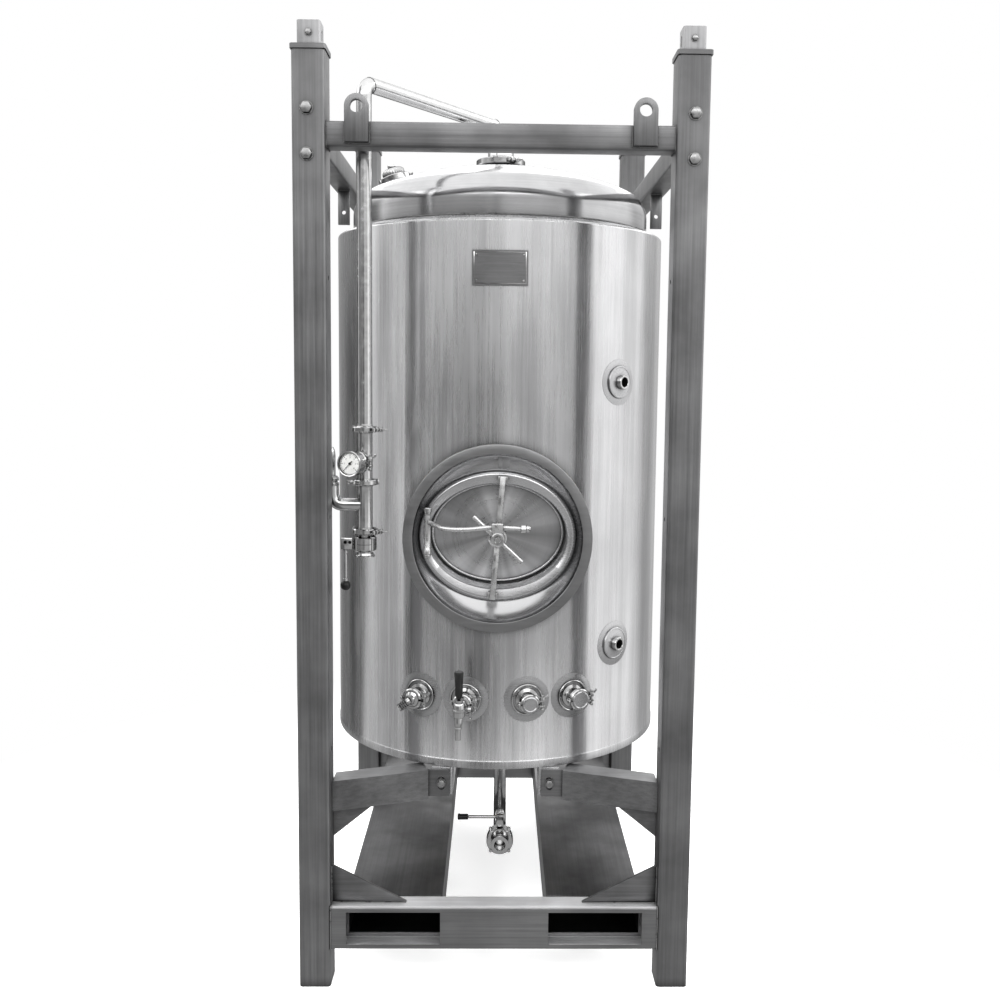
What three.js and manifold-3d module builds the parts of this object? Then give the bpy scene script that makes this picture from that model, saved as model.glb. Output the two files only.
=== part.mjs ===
// An upright insulated stainless tank in a stackable frame of square tube.
// Millimetres, +Z up. The origin is on the ground under the middle of the frame, the front looks along -Y
// and +X is to the right. An azimuth is measured round the tank from the front (-Y) towards +X.
import * as THREE from 'three';
import { mergeVertices } from 'three/addons/utils/BufferGeometryUtils.js';
import Module from 'manifold-3d';

const wasm = await Module();
wasm.setup();

// ---------------------------------------------------------------- driving dimensions
const GAP = 0.3; // clearance between neighbouring solids

// frame
const FRAME_WIDTH = 1000;
const FRAME_DEPTH = 1200;
const POST_SIZE = 80;
const POST_WALL = 4;
const POST_TOP = 2338;
const CAP_SIZE = 86;
const CAP_THICKNESS = 12;
const SPIGOT_SIZE = 56;
const SPIGOT_HEIGHT = 58;
const TUBE_WALL = 3;
const TOP_BEAM_SIZE = 60;
const TOP_BEAM_BASE = 2116;
const BASE_BEAM_DEPTH = 60;
const BASE_BEAM_BOTTOM = 100;
const BASE_BEAM_TOP = 215;
const FORK_INNER_X = 139;
const FORK_OUTER_X = 380;
const FORK_BOTTOM = 114;
const FORK_TOP = 200;
const ARM_TOP = 530;
const ARM_HEIGHT = 80;
const ARM_WIDTH = 60;

// tank
const TANK_SIDES = 32;
const VESSEL_RADIUS = 432;
const VESSEL_WALL = 4;
const JACKET_RADIUS = 476;
const JACKET_SKIN = 2;
const JACKET_BOTTOM = 533;
const JACKET_TOP = 1966;
const BOTTOM_TANGENT = 690;
const BOTTOM_DISH = 105;
const HEAD_SEAM = 1960;
const HEAD_TANGENT = 2030;
const CROWN_RADIUS = 1000;
const KNUCKLE_RADIUS = 75;

// manway
const MANWAY_Z = 1152;
const COLLAR_RADIUS = 246;
const COLLAR_FACE_Y = -491;
const NECK_HALF_WIDTH = 183;
const NECK_HALF_HEIGHT = 139;
const NECK_FACE_Y = -447;
const NECK_SEAT_Y = -368;

// pipework
const PIPE_RADIUS = 19;
const PIPE_BORE = 17;
const CLAMP_RADIUS = 32;
const CLAMP_HEIGHT = 16;
const COLUMN_X = -340;
const COLUMN_Y = -500;
const COLUMN_CLAMPS_Z = [1434, 1299, 1173];
const PORT_HEIGHT = 722;
const SENSOR_AZIMUTH = 42.5;
const DRAIN_X = 15;
const DRAIN_Z = 180;

// ---------------------------------------------------------------- materials
const steel = (color, roughness) => new THREE.MeshStandardMaterial({ color, roughness, metalness: 1 });
const plastic = (color, roughness) => new THREE.MeshStandardMaterial({ color, roughness, metalness: 0 });
const FRAME_STEEL = steel(0x9b9ea1, 0.42);
const JACKET_STEEL = steel(0xc2c4c6, 0.3);
const VESSEL_STEEL = steel(0xd2d4d6, 0.25);
const FITTING_STEEL = steel(0xd8dadc, 0.15);
const PLATE_STEEL = steel(0xb0b3b5, 0.5);
const BLACK_PLASTIC = plastic(0x141414, 0.4);
const WHITE_PLASTIC = plastic(0xe9e9e6, 0.45);
const SEAL_RUBBER = plastic(0x1d1d1d, 0.8);
const FOAM = plastic(0xe0c98a, 0.95);

// ---------------------------------------------------------------- solids
// Welds a geometry, drops its empty triangles and turns its faces outwards.
function welded(geometry) {
  const bare = geometry.clone();
  bare.deleteAttribute('normal');
  bare.deleteAttribute('uv');
  const merged = mergeVertices(bare, 1e-3);
  const place = merged.getAttribute('position');
  const index = merged.getIndex().array;
  const a = new THREE.Vector3();
  const b = new THREE.Vector3();
  const c = new THREE.Vector3();
  const faces = [];
  let volume = 0;
  for (let i = 0; i < index.length; i += 3) {
    const [p, q, r] = [index[i], index[i + 1], index[i + 2]];
    if (p === q || q === r || r === p) continue;
    faces.push(p, q, r);
    const normal = b.fromBufferAttribute(place, q).cross(c.fromBufferAttribute(place, r));
    volume += a.fromBufferAttribute(place, p).dot(normal);
  }
  if (volume < 0) faces.reverse();
  return { vertices: Float32Array.from(place.array), faces: Uint32Array.from(faces) };
}

function toSolid(geometry) {
  const { vertices, faces } = welded(geometry);
  return new wasm.Manifold(new wasm.Mesh({ numProp: 3, vertProperties: vertices, triVerts: faces }));
}

function toGeometry(solid) {
  const mesh = solid.getMesh();
  const geometry = new THREE.BufferGeometry();
  geometry.setAttribute('position', new THREE.BufferAttribute(new Float32Array(mesh.vertProperties), 3));
  geometry.setIndex(new THREE.BufferAttribute(new Uint32Array(mesh.triVerts), 1));
  return geometry;
}

const join = (...pieces) => toGeometry(pieces.map(toSolid).reduce((whole, piece) => whole.add(piece)));

function cut(body, ...tools) {
  return toGeometry(tools.map(toSolid).reduce((left, tool) => left.subtract(tool), toSolid(body)));
}

// Mirrors a closed geometry in the X or Y plane and keeps its faces pointing out.
function mirrored(geometry, x, y) {
  const copy = geometry.clone().applyMatrix4(new THREE.Matrix4().makeScale(x, y, 1));
  if (x * y > 0) return copy;
  return toGeometry(toSolid(copy));
}

const box = (x0, x1, y0, y1, z0, z1) =>
  new THREE.BoxGeometry(x1 - x0, y1 - y0, z1 - z0).translate((x0 + x1) / 2, (y0 + y1) / 2, (z0 + z1) / 2);

// A cylinder, or a cone, between two points.
function rod(from, to, radius, sides = 12, endRadius = radius) {
  const start = new THREE.Vector3(...from);
  const end = new THREE.Vector3(...to);
  const direction = end.clone().sub(start);
  const geometry = new THREE.CylinderGeometry(endRadius, radius, direction.length(), sides);
  geometry.rotateY(Math.PI / sides);
  const drawnAlong = new THREE.Vector3(0, 1, 0);
  geometry.applyQuaternion(new THREE.Quaternion().setFromUnitVectors(drawnAlong, direction.normalize()));
  const middle = start.add(end).multiplyScalar(0.5);
  return geometry.translate(middle.x, middle.y, middle.z);
}

// Turns a closed [radius, z] profile round the Z axis.
function lathe(profile, sides = TANK_SIDES) {
  const points = profile.map(([radius, z]) => new THREE.Vector2(radius, z));
  return new THREE.LatheGeometry(points, sides).rotateX(Math.PI / 2);
}

const ring = (inner, outer, z0, z1, sides) =>
  lathe([[inner, z0], [outer, z0], [outer, z1], [inner, z1], [inner, z0]], sides);

// Extrudes an outline drawn in X and Z from the plane y0 to the plane y1.
function plateXZ(outline, y0, y1, hole) {
  const shape = new THREE.Shape(outline.map(([x, z]) => new THREE.Vector2(x, z)));
  if (hole) shape.holes.push(hole);
  const geometry = new THREE.ExtrudeGeometry(shape, { depth: y1 - y0, bevelEnabled: false, curveSegments: 8 });
  return geometry.rotateX(Math.PI / 2).translate(0, y1, 0);
}

function circlePath(x, z, radius) {
  const path = new THREE.Path();
  path.absarc(x, z, radius, 0, Math.PI * 2, true);
  return path;
}

// A square tube along one axis, open at both ends.
function squareTube(x0, x1, y0, y1, z0, z1, wall, axis) {
  const inset = { x: wall, y: wall, z: wall };
  inset[axis] = -1;
  const hollow = box(x0 + inset.x, x1 - inset.x, y0 + inset.y, y1 - inset.y, z0 + inset.z, z1 - inset.z);
  return cut(box(x0, x1, y0, y1, z0, z1), hollow);
}

// A round bend of a pipe, from the point before a corner to the point after it.
class Bend extends THREE.Curve {
  constructor(before, corner, after) {
    super();
    Object.assign(this, { before, corner, after });
  }

  getPoint(t, target = new THREE.Vector3()) {
    const toBefore = this.before.clone().sub(this.corner);
    const toAfter = this.after.clone().sub(this.corner);
    const half = toBefore.angleTo(toAfter) / 2;
    const radius = toBefore.length() * Math.tan(half);
    const bisector = toBefore.clone().normalize().add(toAfter.clone().normalize()).normalize();
    const centre = this.corner.clone().addScaledVector(bisector, toBefore.length() / Math.cos(half));
    const u = this.before.clone().sub(centre).normalize();
    const w = this.after.clone().sub(centre);
    w.addScaledVector(u, -w.dot(u)).normalize();
    const angle = t * (Math.PI - 2 * half);
    target.copy(centre).addScaledVector(u, radius * Math.cos(angle));
    return target.addScaledVector(w, radius * Math.sin(angle));
  }
}

// A round bar through a list of corners, with rounded bends.
function bar(corners, radius, bendLength, sides = 10) {
  const points = corners.map((corner) => new THREE.Vector3(...corner));
  const section = new THREE.Shape();
  section.absarc(0, 0, radius, 0, Math.PI * 2, false);
  const pieces = [];
  const overlap = 0.5;
  let start = points[0];
  for (let i = 1; i < points.length; i += 1) {
    const last = i === points.length - 1;
    const direction = points[i].clone().sub(start).normalize();
    const end = last ? points[i] : points[i].clone().addScaledVector(direction, -bendLength);
    pieces.push(rod(start.toArray(), end.toArray(), radius, sides));
    if (last) break;
    const onward = points[i + 1].clone().sub(points[i]).normalize();
    const next = points[i].clone().addScaledVector(onward, bendLength);
    const before = end.clone().addScaledVector(direction, -overlap);
    const after = next.clone().addScaledVector(onward, overlap);
    const path = new Bend(before, points[i], after);
    const sweep = { steps: 3, extrudePath: path, bevelEnabled: false, curveSegments: sides / 2 };
    pieces.push(new THREE.ExtrudeGeometry(section, sweep));
    start = next;
  }
  return join(...pieces);
}

const pipe = (corners, bendLength) =>
  cut(bar(corners, PIPE_RADIUS, bendLength), bar(corners, PIPE_BORE, bendLength));

// Places geometry drawn about local Z on the tank: local Z points outwards, local Y up, local X to the right.
function onTank(geometry, azimuth, radius, z) {
  const angle = THREE.MathUtils.degToRad(azimuth);
  const outward = new THREE.Vector3(Math.sin(angle), -Math.cos(angle), 0);
  const right = new THREE.Vector3(Math.cos(angle), Math.sin(angle), 0);
  const up = new THREE.Vector3(0, 0, 1);
  const place = new THREE.Matrix4().makeBasis(right, up, outward);
  place.setPosition(outward.clone().multiplyScalar(radius).setZ(z));
  return geometry.clone().applyMatrix4(place);
}

// A hinged hygienic clamp about local Z with its bolt and wing nut on the +X side.
function clampRing(inner, outer, height) {
  const half = height / 2;
  const band = inner > 0 ? ring(inner, outer, -half, half, 12) : rod([0, 0, -half], [0, 0, half], outer, 12);
  const ear = box(outer - 3, outer + 12, -9, 9, -half + 2, half - 2);
  const bolt = rod([outer + 6, -16, 0], [outer + 6, 22, 0], 3.5, 6);
  const wings = box(outer - 5, outer + 17, 12, 19, -5, 5);
  return join(band, ear, bolt, wings);
}

const group = new THREE.Group();

function add(name, geometry, material) {
  const { vertices, faces } = welded(geometry);
  const clean = new THREE.BufferGeometry();
  clean.setAttribute('position', new THREE.BufferAttribute(vertices, 3));
  clean.setIndex(new THREE.BufferAttribute(faces, 1));
  clean.computeVertexNormals();
  const mesh = new THREE.Mesh(clean, material);
  mesh.name = name;
  group.add(mesh);
}

const CORNERS = [
  { name: 'front_left', x: -1, y: -1 },
  { name: 'front_right', x: 1, y: -1 },
  { name: 'rear_left', x: -1, y: 1 },
  { name: 'rear_right', x: 1, y: 1 },
];

// ---------------------------------------------------------------- frame, drawn for the front left corner
const HALF_W = FRAME_WIDTH / 2;
const HALF_D = FRAME_DEPTH / 2;
const POST_INNER_X = HALF_W - POST_SIZE;
const POST_INNER_Y = HALF_D - POST_SIZE;
const POST_X = HALF_W - POST_SIZE / 2;
const POST_Y = HALF_D - POST_SIZE / 2;
const HEAD_BOLT_X = 464;
const HEAD_BOLTS_Z = [2095, 2202];
const HEAD_BOLT_RADIUS = 8;
const HEX_RADIUS = 13.8;
const DRAIN_HOLES_Z = [620, 1217, 1807];

function post() {
  const tube = squareTube(-HALF_W, -POST_INNER_X, -HALF_D, -POST_INNER_Y, 0, POST_TOP, POST_WALL, 'z');
  const sideHoles = DRAIN_HOLES_Z.map((z) =>
    rod([-POST_INNER_X - 10, -POST_Y, z], [-POST_INNER_X + 2, -POST_Y, z], 6, 8));
  const boltHoles = HEAD_BOLTS_Z.map((z) =>
    rod([-HEAD_BOLT_X, -HALF_D - 1, z], [-HEAD_BOLT_X, -HALF_D + 10, z], HEAD_BOLT_RADIUS + 1, 8));
  return cut(tube, ...sideHoles, ...boltHoles);
}

// The cap plate and spigot that the next frame stands on, on an inner tube held by two bolts.
function stackingHead() {
  const square = (size, wall, z0, z1) => {
    const half = size / 2;
    return squareTube(-POST_X - half, -POST_X + half, -POST_Y - half, -POST_Y + half, z0, z1, wall, 'z');
  };
  const capTop = POST_TOP + GAP + CAP_THICKNESS;
  const innerTube = square(POST_SIZE - 2 * POST_WALL - 2, 5, 2050, POST_TOP + 5);
  const capPlate = square(CAP_SIZE, 20, POST_TOP + GAP, capTop);
  const spigot = square(SPIGOT_SIZE, 5, capTop - 1, capTop + SPIGOT_HEIGHT);
  const spigotZ = capTop + SPIGOT_HEIGHT / 2;
  const frontHole = rod([-POST_X, -POST_Y - SPIGOT_SIZE, spigotZ], [-POST_X, -POST_Y, spigotZ], 6, 8);
  const sideSlot = box(-POST_X, -POST_X + SPIGOT_SIZE, -POST_Y - 5, -POST_Y + 5, spigotZ - 12, spigotZ + 12);
  const bolts = HEAD_BOLTS_Z.flatMap((z) => [
    rod([-HEAD_BOLT_X, -HALF_D - 10, z], [-HEAD_BOLT_X, -HALF_D - GAP, z], HEX_RADIUS, 6),
    rod([-HEAD_BOLT_X, -HALF_D - 2, z], [-HEAD_BOLT_X, -HALF_D + 24, z], HEAD_BOLT_RADIUS, 6),
    rod([-HEAD_BOLT_X, -HALF_D + 8, z], [-HEAD_BOLT_X, -HALF_D + 20, z], HEX_RADIUS, 6),
  ]);
  return join(cut(join(innerTube, capPlate, spigot), frontHole, sideSlot), ...bolts);
}

const LUG_X = 345.5;
const LUG_RADIUS = 29;
const LUG_CENTRE_Z = 2208;
const LUG_HOLE_RADIUS = 15.5;
const TOP_BEAM_FRONT = 589;

function liftingLug(side) {
  const outline = [[-LUG_RADIUS, 2125], [LUG_RADIUS, 2125]];
  const arcSteps = 10;
  for (let i = 0; i <= arcSteps; i += 1) {
    const angle = (Math.PI * i) / arcSteps;
    outline.push([LUG_RADIUS * Math.cos(angle), LUG_CENTRE_Z + LUG_RADIUS * Math.sin(angle)]);
  }
  const hole = circlePath(0, LUG_CENTRE_Z, LUG_HOLE_RADIUS);
  return plateXZ(outline, -TOP_BEAM_FRONT - 14, -TOP_BEAM_FRONT + 1, hole).translate(side * LUG_X, 0, 0);
}

function topFrontBeam() {
  const end = POST_INNER_X - GAP;
  const tube = squareTube(-end, end, -TOP_BEAM_FRONT, -TOP_BEAM_FRONT + TOP_BEAM_SIZE,
    TOP_BEAM_BASE, TOP_BEAM_BASE + TOP_BEAM_SIZE, TUBE_WALL, 'x');
  return join(tube, liftingLug(-1), liftingLug(1));
}

// A side beam with a drilled tab hanging from its underside beside the dome.
function topSideBeam() {
  const outer = -HALF_W + 6;
  const end = POST_INNER_Y - GAP;
  const tube = squareTube(outer, outer + TOP_BEAM_SIZE, -end, end,
    TOP_BEAM_BASE, TOP_BEAM_BASE + TOP_BEAM_SIZE, TUBE_WALL, 'y');
  const tabX = outer + TOP_BEAM_SIZE / 2;
  const tabHalf = 17;
  const tabBottom = 2014;
  const tabTop = TOP_BEAM_BASE + 1;
  const outline = [[tabX - tabHalf, tabBottom], [tabX + tabHalf, tabBottom], [tabX + tabHalf, tabTop],
    [tabX - tabHalf, tabTop]];
  const tab = plateXZ(outline, -4, 4, circlePath(tabX, tabBottom + 36, 6));
  return join(tube, tab);
}

function baseFrontBeam() {
  const end = POST_INNER_X - GAP;
  const front = -HALF_D + 2;
  const back = front + BASE_BEAM_DEPTH;
  const tube = squareTube(-end, end, front, back, BASE_BEAM_BOTTOM, BASE_BEAM_TOP, 5, 'x');
  const pockets = [-1, 1].map((side) => {
    const [x0, x1] = side < 0 ? [-FORK_OUTER_X, -FORK_INNER_X] : [FORK_INNER_X, FORK_OUTER_X];
    return box(x0, x1, front - 1, back + 1, FORK_BOTTOM, FORK_TOP);
  });
  const gussets = [-1, 1].map((side) => {
    const outline = [[side * end, BASE_BEAM_TOP - 1], [side * 226, BASE_BEAM_TOP - 1], [side * end, 315]];
    return plateXZ(outline, front + 26, front + 34);
  });
  return join(cut(tube, ...pockets), ...gussets);
}

function forkChannel() {
  const end = HALF_D - 2 - BASE_BEAM_DEPTH - GAP;
  return squareTube(-FORK_OUTER_X - 4, -FORK_INNER_X + 3, -end, end, FORK_BOTTOM - 4, BASE_BEAM_TOP, 4, 'y');
}

// The foot bracket of the tank: x range, front face and the slot that its bolt passes.
const BRACKET = { left: -170, right: -122, front: -470, thickness: 8, boltX: -144, boltZ: 492 };

// A support arm from the post towards the tank's foot, with its gusset and its slotted end plate.
function supportArm() {
  const rootX = -POST_INNER_X + GAP;
  const slope = Math.tan(THREE.MathUtils.degToRad(18));
  const tipX = -178;
  const frontY = -556;
  const widthY = ARM_WIDTH / Math.cos(Math.atan(slope));
  const tipShift = ARM_WIDTH * Math.sin(Math.atan(slope));
  const along = (x) => frontY + (x - rootX) * slope;
  const plan = new THREE.Shape([
    new THREE.Vector2(rootX, frontY),
    new THREE.Vector2(tipX, along(tipX)),
    new THREE.Vector2(tipX - tipShift, along(tipX - tipShift) + widthY),
    new THREE.Vector2(rootX, frontY + widthY),
  ]);
  const armBase = ARM_TOP - ARM_HEIGHT;
  const beam = new THREE.ExtrudeGeometry(plan, { depth: ARM_HEIGHT, bevelEnabled: false });
  beam.translate(0, 0, armBase);
  const gusset = plateXZ([[rootX, armBase + 1], [rootX, armBase - 74], [rootX + 106, armBase + 1]], -4, 4);
  gusset.applyMatrix4(new THREE.Matrix4().makeShear(slope, 0, 0, 0, 0, 0));
  gusset.translate(0, frontY + 24 - rootX * slope, 0);
  const { left, right, front, thickness, boltX, boltZ } = BRACKET;
  const plate = box(left - 22, right, front, front + thickness, ARM_TOP - 74, ARM_TOP - 1);
  const slot = join(
    rod([boltX, front - 1, boltZ + 10], [boltX, front + 30, boltZ + 10], 9, 8),
    rod([boltX, front - 1, boltZ - 10], [boltX, front + 30, boltZ - 10], 9, 8),
    box(boltX - 8, boltX + 8, front - 1, front + 30, boltZ - 10, boltZ + 10),
  );
  return cut(join(beam, gusset, plate), slot);
}

for (const corner of CORNERS) {
  add(`post_${corner.name}`, mirrored(post(), -corner.x, -corner.y), FRAME_STEEL);
  add(`stacking_head_${corner.name}`, mirrored(stackingHead(), -corner.x, -corner.y), FRAME_STEEL);
  add(`support_arm_${corner.name}`, mirrored(supportArm(), -corner.x, -corner.y), FRAME_STEEL);
}
for (const [name, side] of [['front', 1], ['rear', -1]]) {
  add(`top_beam_${name}`, mirrored(topFrontBeam(), 1, side), FRAME_STEEL);
  add(`base_beam_${name}`, mirrored(baseFrontBeam(), 1, side), FRAME_STEEL);
}
for (const [name, side] of [['left', 1], ['right', -1]]) {
  add(`top_beam_${name}`, mirrored(topSideBeam(), side, 1), FRAME_STEEL);
  add(`fork_channel_${name}`, mirrored(forkChannel(), side, 1), FRAME_STEEL);
}

// ---------------------------------------------------------------- tank
const radiansOf = THREE.MathUtils.degToRad;

// The meridian of a dished head with the given outer offset, from the axis to the straight flange.
function headMeridian(offset, steps) {
  const knuckle = KNUCKLE_RADIUS - offset;
  const crown = CROWN_RADIUS - offset;
  const knuckleX = VESSEL_RADIUS - KNUCKLE_RADIUS;
  const reach = CROWN_RADIUS - KNUCKLE_RADIUS;
  const crownZ = HEAD_TANGENT - Math.sqrt(reach ** 2 - knuckleX ** 2);
  const split = Math.asin(knuckleX / reach);
  const points = [];
  for (let i = 0; i <= steps; i += 1) {
    const angle = (split * i) / steps;
    points.push([crown * Math.sin(angle), crownZ + crown * Math.cos(angle)]);
  }
  for (let i = 1; i <= steps; i += 1) {
    const angle = split + ((Math.PI / 2 - split) * i) / steps;
    points.push([knuckleX + knuckle * Math.sin(angle), HEAD_TANGENT + knuckle * Math.cos(angle)]);
  }
  return points;
}

const CROWN_TOP = headMeridian(0, 1)[0][1];
const FERRULE_TOP = CROWN_TOP + 20;

function topHead() {
  const outer = headMeridian(0, 3);
  const inner = headMeridian(VESSEL_WALL, 3).reverse();
  const rim = [[VESSEL_RADIUS, HEAD_SEAM + GAP], [VESSEL_RADIUS - VESSEL_WALL, HEAD_SEAM + GAP]];
  const dish = lathe([...outer, ...rim, ...inner]);
  const neck = lathe([[0, CROWN_TOP - 3], [46, CROWN_TOP - 4], [50, CROWN_TOP + 12], [60, CROWN_TOP + 14],
    [60, FERRULE_TOP], [0, FERRULE_TOP]], 20);
  const bore = rod([0, 0, CROWN_TOP - 20], [0, 0, FERRULE_TOP + 1], 42, 16);
  const reliefStub = rod(reliefPoint(-3), reliefPoint(14), 30, 12);
  const reliefBore = rod(reliefPoint(-20), reliefPoint(20), 24, 8);
  return cut(join(dish, neck, reliefStub), bore, reliefBore);
}

// A point on the axis of the relief valve, a height above the dome.
const RELIEF_X = -305;
const RELIEF_TILT = Math.asin(-RELIEF_X / CROWN_RADIUS);
function reliefPoint(height) {
  const centreZ = CROWN_TOP - CROWN_RADIUS;
  const reach = CROWN_RADIUS + height;
  return [-reach * Math.sin(RELIEF_TILT), 0, centreZ + reach * Math.cos(RELIEF_TILT)];
}

function vesselShell() {
  const tube = ring(VESSEL_RADIUS - VESSEL_WALL, VESSEL_RADIUS, BOTTOM_TANGENT + GAP, HEAD_SEAM);
  const manwayHole = ovalBlock(NECK_HALF_WIDTH + 8, NECK_HALF_HEIGHT + 8, -VESSEL_RADIUS - 5, -200);
  return cut(tube, manwayHole, ...stubHoles());
}

// A shallow dish under the shell with the outlet at its lowest point.
function bottomHead() {
  const outer = [];
  const inner = [];
  const steps = 4;
  for (let i = 0; i <= steps; i += 1) {
    const share = i / steps;
    const fall = BOTTOM_DISH * Math.sqrt(1 - share ** 2.4);
    outer.push([VESSEL_RADIUS * share, BOTTOM_TANGENT - fall - (i < steps ? 0 : 3)]);
    const rise = i < steps ? VESSEL_WALL : 0;
    inner.unshift([(VESSEL_RADIUS - VESSEL_WALL) * share, BOTTOM_TANGENT - fall + rise]);
  }
  const dish = lathe([...outer, ...inner]);
  return cut(dish, rod([DRAIN_X, 0, 500], [DRAIN_X, 0, 640], PIPE_RADIUS + 1, 16));
}

// An elliptical block about the manway's axis, between two planes of constant Y.
function ovalBlock(halfWidth, halfHeight, y0, y1, sides = 24) {
  const outline = [];
  for (let i = 0; i < sides; i += 1) {
    const angle = (Math.PI * 2 * i) / sides;
    outline.push([halfWidth * Math.cos(angle), MANWAY_Z + halfHeight * Math.sin(angle)]);
  }
  return plateXZ(outline, y0, y1);
}

const PORT_AZIMUTHS = [-25.2, -9.8, 9.8, 25.2];
const SENSOR_HEIGHTS = [845, 1559];

// Holes through the jacket, insulation and shell for the stubs of the ports.
function stubHoles() {
  const drill = () => rod([0, 0, -70], [0, 0, 20], PIPE_RADIUS + 2, 8);
  return [
    ...PORT_AZIMUTHS.map((azimuth) => onTank(drill(), azimuth, JACKET_RADIUS, PORT_HEIGHT)),
    ...SENSOR_HEIGHTS.map((z) => onTank(drill(), SENSOR_AZIMUTH, JACKET_RADIUS, z)),
  ];
}

const collarHole = (depthY) => ovalBlock(COLLAR_RADIUS + 1, COLLAR_RADIUS + 1, -JACKET_RADIUS - 20, depthY);

function insulation() {
  const body = ring(VESSEL_RADIUS + 0.6, JACKET_RADIUS - JACKET_SKIN - 0.6, JACKET_BOTTOM + 8, JACKET_TOP - 6);
  return cut(body, collarHole(-250), ...stubHoles());
}

function cladding() {
  const inner = JACKET_RADIUS - JACKET_SKIN;
  const profile = [
    [inner, JACKET_BOTTOM], [JACKET_RADIUS + 2, JACKET_BOTTOM], [JACKET_RADIUS + 2, JACKET_BOTTOM + 20],
    [JACKET_RADIUS, JACKET_BOTTOM + 23], [JACKET_RADIUS, JACKET_TOP], [JACKET_RADIUS - 6, JACKET_TOP + 6],
    [VESSEL_RADIUS + 1.5, JACKET_TOP + 20], [VESSEL_RADIUS + 1.5, JACKET_TOP + 17.5],
    [JACKET_RADIUS - 7, JACKET_TOP + 3.5], [inner, JACKET_TOP - 1], [inner, JACKET_BOTTOM],
  ];
  return cut(lathe(profile), collarHole(-250), ...stubHoles());
}

// The plate that closes the jacket from below, with four angle feet and their bolts.
function baseRing() {
  const plate = ring(300, JACKET_RADIUS - JACKET_SKIN - 0.6, JACKET_BOTTOM + 1, JACKET_BOTTOM + 7);
  const { left, right, front, thickness, boltX, boltZ } = BRACKET;
  const back = front + thickness + GAP;
  const flange = join(
    box(left, right, back, back + thickness, 458, JACKET_BOTTOM - GAP),
    box(right - 1, right + 7, back, back + 70, 458, JACKET_BOTTOM - GAP),
    box(right - 1, right + 7, back + 18, back + 70, 500, JACKET_BOTTOM + 2),
    rod([boltX, front - 11, boltZ], [boltX, front - GAP, boltZ], 12, 6),
    rod([boltX, front - 1, boltZ], [boltX, back + 26, boltZ], 6, 8),
    rod([boltX, back + 7, boltZ], [boltX, back + 18, boltZ], 12, 6),
  );
  return join(plate, ...CORNERS.map((corner) => mirrored(flange, -corner.x, -corner.y)));
}

// A round plate that lies on the curved jacket, drawn thick and cut back to the jacket's surface.
function jacketPlate(geometry) {
  return cut(geometry, ring(300, JACKET_RADIUS + 0.5, 500, 2000));
}

function nameplate() {
  return jacketPlate(box(-71, 71, -481, -462, 1801, 1890));
}

add('vessel_shell', vesselShell(), VESSEL_STEEL);
add('vessel_top_head', topHead(), VESSEL_STEEL);
add('vessel_bottom_head', bottomHead(), VESSEL_STEEL);
add('insulation', insulation(), FOAM);
add('jacket_cladding', cladding(), JACKET_STEEL);
add('jacket_base_ring', baseRing(), JACKET_STEEL);
add('nameplate', nameplate(), PLATE_STEEL);

// ---------------------------------------------------------------- manway
const MANWAY_SIDES = 24;

// Sweeps a closed profile of points round the manway. profileAt gives the points at an angle.
function manwayRing(profileAt) {
  const vertices = [];
  const index = [];
  const count = profileAt(0).length;
  for (let i = 0; i < MANWAY_SIDES; i += 1) {
    for (const [x, y, z] of profileAt((Math.PI * 2 * i) / MANWAY_SIDES)) vertices.push(x, y, z);
    for (let j = 0; j < count; j += 1) {
      const a = i * count + j;
      const b = i * count + ((j + 1) % count);
      const c = ((i + 1) % MANWAY_SIDES) * count + j;
      const d = ((i + 1) % MANWAY_SIDES) * count + ((j + 1) % count);
      index.push(a, b, d, a, d, c);
    }
  }
  const geometry = new THREE.BufferGeometry();
  geometry.setAttribute('position', new THREE.Float32BufferAttribute(vertices, 3));
  geometry.setIndex(index);
  return geometry;
}

// A point on an oval about the manway's axis, at the plane y.
const onOval = (angle, halfWidth, halfHeight, y) =>
  [halfWidth * Math.cos(angle), y, MANWAY_Z + halfHeight * Math.sin(angle)];

const FLARE_X = 24;
const FLARE_Z = 33;

// A round collar on the jacket, closed by a thin cone that runs in to the oval neck.
function collar() {
  const sheet = 3;
  return manwayRing((angle) => {
    const inside = COLLAR_RADIUS - sheet;
    const reachX = COLLAR_RADIUS * Math.cos(angle);
    const wallY = -Math.sqrt((VESSEL_RADIUS + 4) ** 2 - reachX ** 2);
    const coneX = NECK_HALF_WIDTH + FLARE_X + 2;
    const coneZ = NECK_HALF_HEIGHT + FLARE_Z + 2;
    return [
      onOval(angle, COLLAR_RADIUS, COLLAR_RADIUS, wallY),
      onOval(angle, COLLAR_RADIUS, COLLAR_RADIUS, COLLAR_FACE_Y + 2),
      onOval(angle, COLLAR_RADIUS - 4, COLLAR_RADIUS - 4, COLLAR_FACE_Y),
      onOval(angle, COLLAR_RADIUS - 9, COLLAR_RADIUS - 9, COLLAR_FACE_Y + 3),
      onOval(angle, coneX, coneZ, NECK_FACE_Y + 6),
      onOval(angle, coneX, coneZ, NECK_FACE_Y + 9),
      onOval(angle, inside - 6, inside - 6, COLLAR_FACE_Y + 9),
      onOval(angle, inside, inside, COLLAR_FACE_Y + 12),
      onOval(angle, inside, inside, wallY),
    ];
  });
}

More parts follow.
